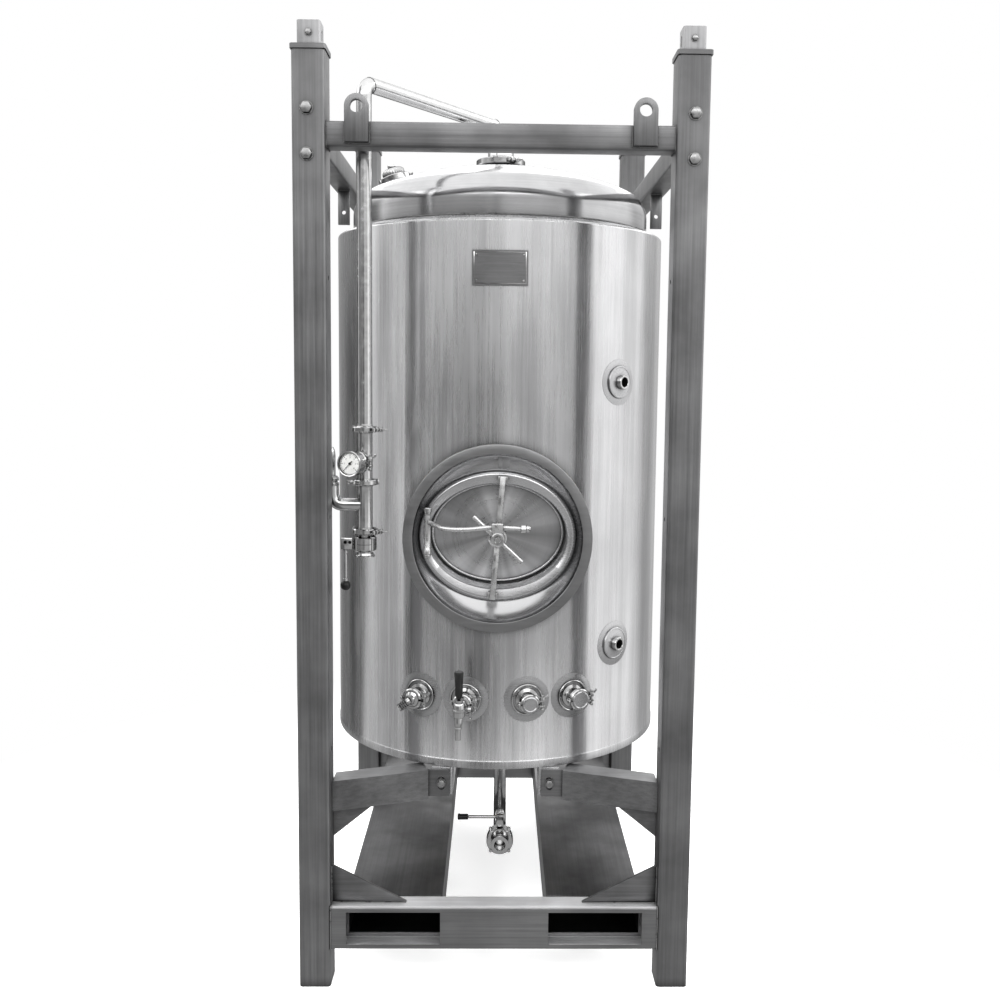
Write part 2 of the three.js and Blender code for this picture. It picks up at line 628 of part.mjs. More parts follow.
// The oval neck with a flared face ring, and the two ears of the davit's hinge on its left.
const HINGE_X = -182;
const HINGE_Y = -472;
function neck() {
  const a = NECK_HALF_WIDTH;
  const b = NECK_HALF_HEIGHT;
  const wall = 7;
  const tube = manwayRing((angle) => [
    onOval(angle, a, b, NECK_SEAT_Y),
    onOval(angle, a, b, NECK_FACE_Y + 6),
    onOval(angle, a + 6, b + 6, NECK_FACE_Y),
    onOval(angle, a + FLARE_X - 5, b + FLARE_Z - 5, NECK_FACE_Y),
    onOval(angle, a + FLARE_X, b + FLARE_Z, NECK_FACE_Y + 5),
    onOval(angle, a + FLARE_X, b + FLARE_Z, NECK_FACE_Y + 10),
    onOval(angle, a + wall, b + wall, NECK_FACE_Y + 14),
    onOval(angle, a + wall, b + wall, NECK_SEAT_Y),
  ]);
  const ears = [1100, 1212].map((z) => box(HINGE_X - 6, HINGE_X + 6, HINGE_Y - 7, NECK_FACE_Y + 3, z, z + 8));
  const pin = rod([HINGE_X, HINGE_Y, 1101], [HINGE_X, HINGE_Y, 1219], 4, 8);
  return join(tube, ...ears, pin);
}

const GASKET_THICKNESS = 6;
const DOOR_FACE_Y = NECK_SEAT_Y + GASKET_THICKNESS + 2 * GAP;

function doorGasket() {
  const inner = -1;
  const outer = 12;
  return manwayRing((angle) => [
    onOval(angle, NECK_HALF_WIDTH + inner, NECK_HALF_HEIGHT + inner, NECK_SEAT_Y + GAP),
    onOval(angle, NECK_HALF_WIDTH + outer, NECK_HALF_HEIGHT + outer, NECK_SEAT_Y + GAP),
    onOval(angle, NECK_HALF_WIDTH + outer, NECK_HALF_HEIGHT + outer, NECK_SEAT_Y + GAP + GASKET_THICKNESS),
    onOval(angle, NECK_HALF_WIDTH + inner, NECK_HALF_HEIGHT + inner, NECK_SEAT_Y + GAP + GASKET_THICKNESS),
  ]);
}

const SPINDLE_RADIUS = 8;
const YOKE_FRONT = -479;
const YOKE_BACK = -465;
const HANDLE_FRONT = -503;

function door() {
  const plate = ovalBlock(NECK_HALF_WIDTH + 15, NECK_HALF_HEIGHT + 15, DOOR_FACE_Y, DOOR_FACE_Y + 6);
  const spindle = rod([0, DOOR_FACE_Y + 3, MANWAY_Z], [0, HANDLE_FRONT - 12, MANWAY_Z], SPINDLE_RADIUS, 16);
  const boss = rod([0, DOOR_FACE_Y + 3, MANWAY_Z], [0, DOOR_FACE_Y - 14, MANWAY_Z], 22, 16, 16);
  return join(plate, spindle, boss);
}

// The bar across the neck that the handle pulls against, standing on the face ring on two feet.
function yoke() {
  const halfWidth = 15;
  const reach = NECK_HALF_HEIGHT + 24;
  const beam = box(-halfWidth, halfWidth, YOKE_FRONT, YOKE_BACK, MANWAY_Z - reach, MANWAY_Z + reach);
  const feet = [-1, 1].map((side) => {
    const z = MANWAY_Z + side * (reach - 9);
    return box(-halfWidth, halfWidth, YOKE_BACK - 1, NECK_FACE_Y - GAP, z - 9, z + 9);
  });
  const boss = rod([0, YOKE_FRONT, MANWAY_Z], [0, YOKE_BACK + 4, MANWAY_Z], 24, 16);
  const hole = rod([0, YOKE_FRONT - 1, MANWAY_Z], [0, YOKE_BACK + 6, MANWAY_Z], SPINDLE_RADIUS + 1, 16);
  return cut(join(beam, ...feet, boss), hole);
}

// The threaded hub and its cross bar, which tighten the door by hand.
function tHandle() {
  const middleY = (HANDLE_FRONT + YOKE_FRONT) / 2;
  const half = 88;
  const tilt = radiansOf(-43);
  const reachX = half * Math.cos(tilt);
  const reachZ = half * Math.sin(tilt);
  const hub = rod([0, HANDLE_FRONT, MANWAY_Z], [0, YOKE_FRONT - GAP, MANWAY_Z], 17, 16);
  const grip = rod([-reachX, middleY, MANWAY_Z - reachZ], [reachX, middleY, MANWAY_Z + reachZ], 6.5, 10);
  const bore = rod([0, HANDLE_FRONT - 1, MANWAY_Z], [0, YOKE_FRONT + 1, MANWAY_Z], SPINDLE_RADIUS + 0.3, 16);
  return cut(join(hub, grip), bore);
}

// The bent arm that carries the door once it is free, on a sleeve over the neck's hinge pin.
function davit() {
  const rodY = HANDLE_FRONT - 20;
  const hinge = (z0, z1, radius) => rod([HINGE_X, HINGE_Y, z0], [HINGE_X, HINGE_Y, z1], radius, 10);
  const sleeve = cut(hinge(1109, 1211, 8.5), hinge(1100, 1230, 4.6));
  const route = [[HINGE_X + 4.7, HINGE_Y - 5.1, 1190], [HINGE_X + 40, rodY, 1190], [20, rodY, 1184],
    [68, rodY + 6, 1176]];
  const arm = bar(route, 5.5, 14, 8);
  const block = box(-16, 12, rodY - 11, rodY + 11, 1172, 1200);
  const knob = rod([64, rodY + 5, 1177], [78, rodY + 7, 1175], 9, 10);
  return join(sleeve, arm, block, knob);
}

add('manway_collar', collar(), JACKET_STEEL);
add('manway_neck', neck(), VESSEL_STEEL);
add('manway_gasket', doorGasket(), SEAL_RUBBER);
add('manway_door', door(), FITTING_STEEL);
add('manway_yoke', yoke(), FITTING_STEEL);
add('manway_handle', tHandle(), FITTING_STEEL);
add('manway_davit', davit(), FITTING_STEEL);

// ---------------------------------------------------------------- ports on the jacket
const ROSETTE_RADIUS = 61;

// A rosette on the jacket round a stub that runs in through the shell, drawn along local Z.
function portBody(azimuth, z, stubEnd, extras) {
  const plate = jacketPlate(onTank(rod([0, 0, -12], [0, 0, 5], ROSETTE_RADIUS, 16), azimuth, JACKET_RADIUS, z));
  const stub = onTank(rod([0, 0, -54], [0, 0, stubEnd], PIPE_RADIUS, 8), azimuth, JACKET_RADIUS, z);
  return join(plate, stub, ...extras.map((extra) => onTank(extra, azimuth, JACKET_RADIUS, z)));
}

const PORT_CLAMP = 42;
const portClamp = (radius = 28) => clampRing(0, radius, 14).translate(0, 0, PORT_CLAMP);
const blankCap = (radius) => rod([0, 0, PORT_CLAMP], [0, 0, PORT_CLAMP + 10], radius, 12, radius - 3);

function hoseBarb() {
  return bar([[0, 0, PORT_CLAMP], [0, 0, PORT_CLAMP + 22], [-22, -20, PORT_CLAMP + 38]], 9, 8, 8);
}

// The sampling tap: a block in front of its clamp, a curved spout and the collar of the handle.
const TAP_REACH = 86;
const TAP_TOP = 24;
function tapBody() {
  const shank = rod([0, 0, PORT_CLAMP], [0, 0, TAP_REACH], 12, 12);
  const barrel = rod([0, -22, TAP_REACH], [0, TAP_TOP - 6, TAP_REACH], 15, 12);
  const neckPiece = rod([0, TAP_TOP - 8, TAP_REACH], [0, TAP_TOP, TAP_REACH], 9, 10);
  const spout = bar([[0, -16, TAP_REACH], [0, -46, TAP_REACH + 10], [0, -78, TAP_REACH + 10]], 8, 10, 8);
  return join(shank, barrel, neckPiece, spout);
}

// The small lever beside the shank turns on its own pin.
const FLOW_LEVER_Y = -6;
const FLOW_LEVER_REACH = TAP_REACH - 20;
function flowLever() {
  const pin = rod([12.6, FLOW_LEVER_Y, FLOW_LEVER_REACH], [24, FLOW_LEVER_Y, FLOW_LEVER_REACH], 5, 8);
  const blade = box(23, 29, -30, -2, FLOW_LEVER_REACH - 5, FLOW_LEVER_REACH + 5);
  return join(pin, blade);
}

// The handle tips on a ball just above its neck.
function tapHandle() {
  const ball = 8;
  const pivotY = TAP_TOP + GAP + ball;
  const foot = new THREE.SphereGeometry(ball, 12, 8).translate(0, pivotY, TAP_REACH);
  return join(foot, rod([0, pivotY, TAP_REACH], [0, TAP_TOP + 74, TAP_REACH], ball, 12, 11));
}

const [HOSE_AZIMUTH, TAP_AZIMUTH, BLANK_INNER_AZIMUTH, BLANK_OUTER_AZIMUTH] = PORT_AZIMUTHS;
const lowPort = (azimuth, extras) => portBody(azimuth, PORT_HEIGHT, PORT_CLAMP, extras);
const onTap = (geometry) => onTank(geometry, TAP_AZIMUTH, JACKET_RADIUS, PORT_HEIGHT);
add('port_hose', lowPort(HOSE_AZIMUTH, [portClamp(), hoseBarb()]), FITTING_STEEL);
add('port_tap', lowPort(TAP_AZIMUTH, [portClamp(26), tapBody()]), FITTING_STEEL);
add('port_blank_inner', lowPort(BLANK_INNER_AZIMUTH, [portClamp(26), blankCap(22)]), FITTING_STEEL);
add('port_blank_outer', lowPort(BLANK_OUTER_AZIMUTH, [portClamp(29), blankCap(25)]), FITTING_STEEL);
add('tap_handle', onTap(tapHandle()), BLACK_PLASTIC);
add('tap_flow_lever', onTap(flowLever()), FITTING_STEEL);

// A thermometer pocket: a raised ring on its rosette and a short socket with an open bore.
const SOCKET_REACH = 22;
function sensorPort(z) {
  const raised = rod([0, 0, 0], [0, 0, 9], 44, 16, 40);
  const body = portBody(SENSOR_AZIMUTH, z, SOCKET_REACH, [raised]);
  return cut(body, onTank(rod([0, 0, -40], [0, 0, 50], 13, 8), SENSOR_AZIMUTH, JACKET_RADIUS, z));
}

add('sensor_port_lower', sensorPort(SENSOR_HEIGHTS[0]), FITTING_STEEL);
add('sensor_port_upper', sensorPort(SENSOR_HEIGHTS[1]), FITTING_STEEL);

// ---------------------------------------------------------------- top fittings
const RISER_RADIUS = 38;
const PIPE_TOP_Z = 2300;
const PIPE_FRONT_Z = 2288;

function cleaningPipe() {
  const columnTop = COLUMN_CLAMPS_Z[0] + GAP;
  const foot = FERRULE_TOP + GAP;
  const flange = rod([0, 0, foot], [0, 0, foot + 7], 60, 16);
  const riser = rod([0, 0, foot + 5], [0, 0, foot + 36], RISER_RADIUS, 14);
  const reducer = rod([0, 0, foot + 35], [0, 0, foot + 50], RISER_RADIUS, 14, PIPE_RADIUS);
  const line = [[0, 0, foot + 40], [0, 0, PIPE_TOP_Z], [COLUMN_X, COLUMN_Y, PIPE_FRONT_Z],
    [COLUMN_X, COLUMN_Y, columnTop]];
  const bend = 34;
  const bore = rod([0, 0, foot - 1], [0, 0, foot + 45], PIPE_BORE, 10);
  return cut(join(flange, riser, reducer, bar(line, PIPE_RADIUS, bend)), bar(line, PIPE_BORE, bend), bore);
}

const topClamp = () => clampRing(63, 72, 18).rotateZ(radiansOf(-62)).translate(0, 0, FERRULE_TOP);
add('top_clamp', topClamp(), FITTING_STEEL);
add('cleaning_pipe', cleaningPipe(), FITTING_STEEL);

// Places geometry drawn about local Z on the relief valve's tilted axis.
function onDome(geometry, height) {
  return geometry.clone().rotateY(-RELIEF_TILT).translate(...reliefPoint(height));
}

const RELIEF_SEAT = 14 + GAP;
function reliefBody() {
  const drum = rod([0, 0, 0], [0, 0, 30], 36, 20);
  const cap = rod([0, 0, 29], [0, 0, 38], 36, 20, 26);
  return cut(join(drum, cap), rod([0, 0, 10], [0, 0, 50], 5.5, 12));
}

// The pull knob of the relief valve: a stem in the valve's bore and a disc above its cap.
function reliefKnob() {
  return join(rod([0, 0, 14], [0, 0, 52], 4.8, 12), rod([0, 0, 40], [0, 0, 50], 12, 12));
}

add('relief_clamp', onDome(clampRing(37.6, 45, 20).rotateZ(radiansOf(20)), 20), FITTING_STEEL);
add('relief_valve', onDome(reliefBody(), RELIEF_SEAT), WHITE_PLASTIC);
add('relief_knob', onDome(reliefKnob(), RELIEF_SEAT), WHITE_PLASTIC);

// ---------------------------------------------------------------- column in front of the tank
const atColumn = (geometry) => geometry.translate(COLUMN_X, COLUMN_Y, 0);
const columnRod = (z0, z1, radius, sides) => atColumn(rod([0, 0, z0], [0, 0, z1], radius, sides));
const [CLAMP_TOP_Z, CLAMP_MID_Z, CLAMP_LOW_Z] = COLUMN_CLAMPS_Z;

function columnClamp(z, turn) {
  const clamp = clampRing(PIPE_RADIUS + 1.5, CLAMP_RADIUS, CLAMP_HEIGHT);
  return atColumn(clamp.rotateZ(radiansOf(turn)).translate(0, 0, z));
}

// The gauge stands out towards the front and a little to the left.
const GAUGE_AZIMUTH = -20;
const GAUGE_Z = 1352;
function atGauge(geometry) {
  const angle = radiansOf(GAUGE_AZIMUTH);
  const outward = new THREE.Vector3(Math.sin(angle), -Math.cos(angle), 0);
  const right = new THREE.Vector3(Math.cos(angle), Math.sin(angle), 0);
  const place = new THREE.Matrix4().makeBasis(right, new THREE.Vector3(0, 0, 1), outward);
  place.setPosition(COLUMN_X, COLUMN_Y, GAUGE_Z);
  return geometry.clone().applyMatrix4(place);
}

function gaugeTee() {
  const run = columnRod(CLAMP_MID_Z + GAP, CLAMP_TOP_Z - GAP, PIPE_RADIUS, 12);
  const bore = columnRod(CLAMP_MID_Z - 1, CLAMP_TOP_Z + 1, PIPE_BORE, 12);
  const branch = atGauge(rod([0, 0, 17.5], [0, 0, 40], PIPE_RADIUS, 12));
  const clamp = atGauge(clampRing(0, 30, 14).translate(0, 0, 44));
  return join(cut(run, bore), branch, clamp);
}

const GAUGE_RADIUS = 32.5;
const GAUGE_BACK = 56;
const GAUGE_FACE = 88;
function gaugeBody() {
  const socket = rod([0, 0, 51 + GAP], [0, 0, GAUGE_BACK + 1], 14, 12);
  const drum = rod([0, 0, GAUGE_BACK], [0, 0, GAUGE_FACE], GAUGE_RADIUS, 28);
  const recess = rod([0, 0, GAUGE_FACE - 8], [0, 0, GAUGE_FACE + 1], GAUGE_RADIUS - 4, 28);
  return atGauge(cut(join(socket, drum), recess));
}

// The pointer rests at the start of the scale, down to the left.
function gaugeNeedle() {
  const pointer = box(-5, 23, -1.5, 1.5, GAUGE_FACE - 6, GAUGE_FACE - 4.5).rotateZ(radiansOf(-135));
  return atGauge(join(pointer, rod([0, 0, GAUGE_FACE - 7.6], [0, 0, GAUGE_FACE - 3.5], 3.5, 10)));
}

// The run between the lower clamps. A pipe as wide as the run leaves it on the left, turns up behind
// the post and ends in a hexagon nut with a narrower closed tube on it.
const LINE_X = -424;
const ELBOW_Z = 1241;
const NUT_BOTTOM_Z = 1289;
const NUT_TOP_Z = 1311;
const LINE_TOP_Z = 1388;
function branchTee() {
  const run = columnRod(CLAMP_LOW_Z + GAP, CLAMP_MID_Z - GAP, PIPE_RADIUS, 12);
  const bore = columnRod(CLAMP_LOW_Z - 1, CLAMP_MID_Z + 1, PIPE_BORE, 12);
  const corners = [[COLUMN_X - 17.5, COLUMN_Y, ELBOW_Z], [LINE_X, COLUMN_Y, ELBOW_Z], [LINE_X, COLUMN_Y, NUT_BOTTOM_Z + 1]];
  const elbow = bar(corners, 17, 30, 12);
  const nut = rod([LINE_X, COLUMN_Y, NUT_BOTTOM_Z], [LINE_X, COLUMN_Y, NUT_TOP_Z], 18.5, 6);
  const line = rod([LINE_X, COLUMN_Y, NUT_TOP_Z - 1], [LINE_X, COLUMN_Y, LINE_TOP_Z], 9, 12);
  return join(cut(run, bore), elbow, nut, line);
}

// The butterfly valve that ends the column: disc valve, lever block on the left and an open outlet.
const VALVE_TOP = 1157;
const VALVE_BOTTOM = 1124;
const OUTLET_END = 1107;
const STEM_Z = (VALVE_TOP + VALVE_BOTTOM) / 2;
function butterflyBody() {
  const solid = join(
    columnRod(VALVE_TOP - 1, CLAMP_LOW_Z - GAP, PIPE_RADIUS, 12),
    columnRod(VALVE_BOTTOM, VALVE_TOP, 29, 20),
    columnRod(OUTLET_END + 5, VALVE_BOTTOM + 1, PIPE_RADIUS + 1, 12),
    columnRod(OUTLET_END, OUTLET_END + 6, 25, 16),
  );
  const bore = columnRod(OUTLET_END - 1, CLAMP_LOW_Z + 1, PIPE_BORE, 16);
  const stemHole = rod([COLUMN_X - 40, COLUMN_Y, STEM_Z], [COLUMN_X, COLUMN_Y, STEM_Z], 5.4, 12);
  return cut(solid, bore, stemHole);
}

function butterflyLever() {
  const leverX = COLUMN_X - 51;
  const disc = columnRod(STEM_Z - 2, STEM_Z + 2, PIPE_BORE - 0.8, 16);
  const stem = rod([COLUMN_X, COLUMN_Y, STEM_Z], [leverX, COLUMN_Y, STEM_Z], 5, 12);
  const block = box(leverX - 11, COLUMN_X - 29 - 2, COLUMN_Y - 11, COLUMN_Y + 11, STEM_Z - 15, STEM_Z + 15);
  const grip = rod([leverX, COLUMN_Y, STEM_Z - 10], [leverX, COLUMN_Y, 1042], 5.5, 10);
  const ball = new THREE.SphereGeometry(13.4, 12, 8).rotateX(Math.PI / 2).translate(leverX, COLUMN_Y, 1031);
  return join(disc, stem, block, grip, ball);
}

add('column_clamp_upper', columnClamp(CLAMP_TOP_Z, -30), FITTING_STEEL);
add('column_clamp_middle', columnClamp(CLAMP_MID_Z, -150), FITTING_STEEL);
add('column_clamp_lower', columnClamp(CLAMP_LOW_Z, -30), FITTING_STEEL);
add('gauge_tee', gaugeTee(), FITTING_STEEL);
add('gauge_body', gaugeBody(), FITTING_STEEL);
add('gauge_needle', gaugeNeedle(), BLACK_PLASTIC);
add('branch_tee', branchTee(), FITTING_STEEL);
add('column_valve', butterflyBody(), FITTING_STEEL);
add('column_valve_lever', butterflyLever(), FITTING_STEEL);

// ---------------------------------------------------------------- drain under the tank
const DRAIN_VALVE_BACK = -118;
const DRAIN_VALVE_FRONT = -150;
const DRAIN_OUTLET = -174;
const DRAIN_STEM_Y = (DRAIN_VALVE_BACK + DRAIN_VALVE_FRONT) / 2;
const drainRod = (y0, y1, radius, sides) => rod([DRAIN_X, y0, DRAIN_Z], [DRAIN_X, y1, DRAIN_Z], radius, sides);

function drainPipe() {
  const corners = [[DRAIN_X, 0, 600], [DRAIN_X, 0, DRAIN_Z], [DRAIN_X, DRAIN_VALVE_BACK + GAP, DRAIN_Z]];
  const flange = drainRod(DRAIN_VALVE_BACK + GAP, DRAIN_VALVE_BACK + 12, 38, 20);
  const bore = drainRod(DRAIN_VALVE_BACK - 1, DRAIN_VALVE_BACK + 14, PIPE_BORE, 12);
  return cut(join(pipe(corners, 45), flange), bore);
}

function drainValve() {
  const solid = join(
    drainRod(DRAIN_VALVE_FRONT, DRAIN_VALVE_BACK, 42, 24),
    drainRod(DRAIN_OUTLET + 5, DRAIN_VALVE_FRONT + 1, PIPE_RADIUS + 1, 16),
    drainRod(DRAIN_OUTLET, DRAIN_OUTLET + 6, 27, 20),
  );
  const bore = drainRod(DRAIN_OUTLET - 1, DRAIN_VALVE_BACK + 1, PIPE_BORE, 16);
  const stemHole = rod([DRAIN_X, DRAIN_STEM_Y, DRAIN_Z], [DRAIN_X, DRAIN_STEM_Y, DRAIN_Z + 50], 5.4, 12);
  return cut(solid, bore, stemHole);
}

function drainLever() {
  const leverZ = 251;
  const disc = drainRod(DRAIN_STEM_Y - 2, DRAIN_STEM_Y + 2, PIPE_BORE - 0.8, 16);
  const stem = rod([DRAIN_X, DRAIN_STEM_Y, DRAIN_Z], [DRAIN_X, DRAIN_STEM_Y, leverZ], 5, 12);
  const half = 12;
  const [left, front] = [DRAIN_X - half, DRAIN_STEM_Y - half];
  const block = box(left, left + 2 * half, front, front + 2 * half, DRAIN_Z + 44, leverZ + 10);
  const arm = rod([DRAIN_X, DRAIN_STEM_Y, leverZ], [-80, DRAIN_STEM_Y, leverZ], 5, 10);
  return join(disc, stem, block, arm);
}

const drainGrip = () => rod([-80 - GAP, DRAIN_STEM_Y, 251], [-112, DRAIN_STEM_Y, 251], 8.5, 12, 9.5);

add('drain_pipe', drainPipe(), FITTING_STEEL);
add('drain_valve', drainValve(), FITTING_STEEL);
add('drain_valve_lever', drainLever(), FITTING_STEEL);
add('drain_valve_grip', drainGrip(), BLACK_PLASTIC);

export default group;
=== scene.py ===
"""Looks of an upright insulated stainless tank in a stackable frame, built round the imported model.

Lengths are millimetres until a piece is finished, and MM turns them into metres. The origin is on the
ground under the middle of the frame, the front looks along -Y and +X is to the right. An azimuth is
measured in degrees round the tank from the front (-Y) towards +X.
"""
import math

import bmesh
import bpy
from mathutils import Matrix, Vector


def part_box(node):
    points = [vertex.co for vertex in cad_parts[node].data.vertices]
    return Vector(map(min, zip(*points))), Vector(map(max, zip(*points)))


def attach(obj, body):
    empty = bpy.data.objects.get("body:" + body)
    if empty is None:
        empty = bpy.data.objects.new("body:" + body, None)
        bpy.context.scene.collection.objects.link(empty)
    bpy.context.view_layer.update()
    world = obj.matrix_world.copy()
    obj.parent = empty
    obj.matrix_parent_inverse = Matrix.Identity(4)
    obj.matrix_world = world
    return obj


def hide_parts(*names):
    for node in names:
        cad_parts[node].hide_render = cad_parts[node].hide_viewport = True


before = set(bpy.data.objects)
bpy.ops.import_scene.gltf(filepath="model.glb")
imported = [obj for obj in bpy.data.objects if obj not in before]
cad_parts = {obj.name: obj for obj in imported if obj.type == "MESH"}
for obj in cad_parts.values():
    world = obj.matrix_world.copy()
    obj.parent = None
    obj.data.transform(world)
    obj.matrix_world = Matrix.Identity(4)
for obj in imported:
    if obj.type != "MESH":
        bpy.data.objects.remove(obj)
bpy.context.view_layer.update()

MM = 0.001
GAP = 0.3
ON_AXIS = 1e-6
SMOOTH_BELOW = math.radians(32)
ROUNDED_ABOVE = math.radians(28)
CAD_ROUNDED_ABOVE = math.radians(35)
CAD_MERGE_DISTANCE = 0.00002
STATIC = "tank_and_frame"
BOTH = (-1, 1)
CORNERS = {f"{end}_{side}": (x, y) for end, y in (("front", -1), ("rear", 1))
           for side, x in (("left", -1), ("right", 1))}


def node_box(name):
    """The lowest and highest corner of a CAD node, in millimetres."""
    low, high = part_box(name)
    return low / MM, high / MM


def new_object(name, data):
    obj = bpy.data.objects.new(name, data)
    bpy.context.scene.collection.objects.link(obj)
    return obj


# ---------------------------------------------------------------- camera
CAMERA_PLACE = Vector((-0.004, -3.126, 1.572))
CAMERA_YAW = math.radians(0.99)
CAMERA_PITCH = math.radians(5.44)
CAMERA_ROLL = math.radians(0.61)
SENSOR = 36.0
FOCAL_SHARE = 1.0306
CAMERA_SHIFT = (-0.0144, -0.0256)


def make_camera():
    forward = Vector((math.sin(CAMERA_YAW) * math.cos(CAMERA_PITCH),
                      math.cos(CAMERA_YAW) * math.cos(CAMERA_PITCH),
                      -math.sin(CAMERA_PITCH)))
    level = Vector((math.cos(CAMERA_YAW), -math.sin(CAMERA_YAW), 0))
    above = level.cross(forward)
    right = math.cos(CAMERA_ROLL) * level + math.sin(CAMERA_ROLL) * above
    up = -math.sin(CAMERA_ROLL) * level + math.cos(CAMERA_ROLL) * above
    data = bpy.data.cameras.new("camera")
    data.sensor_width = SENSOR
    data.lens = SENSOR * FOCAL_SHARE
    data.shift_x, data.shift_y = CAMERA_SHIFT
    camera = new_object("camera", data)
    turn = Matrix((right, up, -forward)).transposed()
    camera.matrix_world = Matrix.Translation(CAMERA_PLACE) @ turn.to_4x4()
    bpy.context.scene.camera = camera


# ---------------------------------------------------------------- places
def basis(x, y, z, origin=(0, 0, 0)):
    turn = Matrix((Vector(x), Vector(y), Vector(z))).transposed().to_4x4()
    return Matrix.Translation(Vector(origin)) @ turn


ALONG = {"x": basis((0, 1, 0), (0, 0, 1), (1, 0, 0)),
         "y": basis((1, 0, 0), (0, 0, -1), (0, 1, 0)),
         "z": Matrix.Identity(4),
         "front": basis((1, 0, 0), (0, 0, 1), (0, -1, 0))}


def at(x, y, z, along="z"):
    """A place whose local Z points along an axis or to the front."""
    return Matrix.Translation((x, y, z)) @ ALONG[along]


def mirror(x=1, y=1):
    return Matrix.Diagonal((x, y, 1, 1))


def turn_z(degrees):
    return Matrix.Rotation(math.radians(degrees), 4, "Z")


def on_tank(azimuth, radius, z):
    """Local Z points out of the tank, local Y up and local X to the right."""
    angle = math.radians(azimuth)
    outward = Vector((math.sin(angle), -math.cos(angle), 0))
    right = (math.cos(angle), math.sin(angle), 0)
    return basis(right, (0, 0, 1), outward, outward * radius + Vector((0, 0, z)))


# ---------------------------------------------------------------- outlines
def arc(centre_r, centre_z, radius, start, end, steps=6):
    """Points on an arc in an outline, with angles in degrees from its first axis."""
    angles = [math.radians(start + (end - start) * i / steps) for i in range(steps + 1)]
    return [(centre_r + radius * math.cos(a), centre_z + radius * math.sin(a)) for a in angles]


def hexagon(size):
    return arc(0, 0, size, 0, 360, 6)[:-1]


def rounded_rectangle(half_x, half_y, radius, steps=5):
    outline = []
    for quarter, (x, y) in enumerate([(1, 1), (-1, 1), (-1, -1), (1, -1)]):
        start = 90 * quarter
        outline += arc(x * (half_x - radius), y * (half_y - radius), radius, start, start + 90, steps)
    return outline


def route(corners, bend=0.0, steps=8):
    """The corners of a path with each inner corner rounded, starting bend before it."""
    corners = [Vector(corner) for corner in corners]
    path = [corners[0]]
    for before, corner, after in zip(corners, corners[1:], corners[2:]):
        start = corner + (before - corner).normalized() * bend
        end = corner + (after - corner).normalized() * bend
        for i in range(steps + 1):
            t = i / steps
            path.append((1 - t) ** 2 * start + 2 * t * (1 - t) * corner + t * t * end)
    path.append(corners[-1])
    return path


# ---------------------------------------------------------------- geometry, as (points, faces)
def turned(angle, radius, z):
    return Vector((radius * math.cos(angle), radius * math.sin(angle), z))


def lathe(outline, sides=96, z=0):
    """Turns a (radius, z) outline round local Z. One that starts off the axis closes on itself."""
    points = []
    rings = []
    for radius, height in outline:
        count = sides if radius > ON_AXIS else 1
        rings.append([len(points) + i % count for i in range(sides)])
        points += [turned(math.tau * i / sides, radius, z + height) for i in range(count)]
    closing = rings[:1] if outline[0][0] > ON_AXIS else []
    faces = []
    for lower, upper in zip(rings, rings[1:] + closing):
        for i in range(sides):
            j = (i + 1) % sides
            face = list(dict.fromkeys([lower[i], lower[j], upper[j], upper[i]]))
            if len(face) > 2:
                faces.append(face)
    return points, faces


def disc(radius, z0, z1, sides=48):
    return lathe([(0, z0), (radius, z0), (radius, z1), (0, z1)], sides)


def torus(radius, z, thickness, sides=48, steps=8):
    return lathe(arc(radius, z, thickness, 0, 360, steps)[:-1], sides)


def loft(rings, closed=False):
    """Joins rings of equally many points, and caps the ends unless the last ring meets the first."""
    count = len(rings[0])
    points = [point for ring in rings for point in ring]
    last = len(rings) if closed else len(rings) - 1
    faces = []
    for i in range(last):
        below = i * count
        above = ((i + 1) % len(rings)) * count
        for j in range(count):
            k = (j + 1) % count
            faces.append([below + j, below + k, above + k, above + j])
    if not closed:
        faces.append(list(range(count))[::-1])
        faces.append([last * count + j for j in range(count)])
    return points, faces


def arc_band(outline, start, end, steps=40):
    """Sweeps a closed (radius, z) outline round local Z between two angles in degrees."""
    angles = [math.radians(start + (end - start) * i / steps) for i in range(steps + 1)]
    return loft([[turned(angle, radius, z) for radius, z in outline] for angle in angles])


def sweep(path, radius, sides=20):
    """A round bar along a path. radius is one number, or one for each point."""
    path = [Vector(point) for point in path]
    radii = radius if isinstance(radius, list) else [radius] * len(path)
    across = (path[1] - path[0]).orthogonal().normalized()
    rings = []
    for i, point in enumerate(path):
        tangent = (path[min(i + 1, len(path) - 1)] - path[max(i - 1, 0)]).normalized()
        across = (across - tangent * across.dot(tangent)).normalized()
        other = tangent.cross(across)
        rings.append([point + radii[i] * (math.cos(a) * across + math.sin(a) * other)
                      for a in (math.tau * j / sides for j in range(sides))])
    return loft(rings)


def rod(start, end, radius, sides=24, rounding=0.8):
    """A straight bar with rounded ends."""
    start, end = Vector(start), Vector(end)
    along = (end - start).normalized()
    rounding = min(rounding, radius * 0.9, (end - start).length / 3)
    inset = [(0.0, 1.0), (0.3, 0.45), (1.0, 0.0)]
    path = [start + along * rounding * step for step, _ in inset]
    path += [end - along * rounding * step for step, _ in reversed(inset)]
    radii = [radius - rounding * cut for _, cut in inset]
    return sweep(path, radii + radii[::-1], sides)


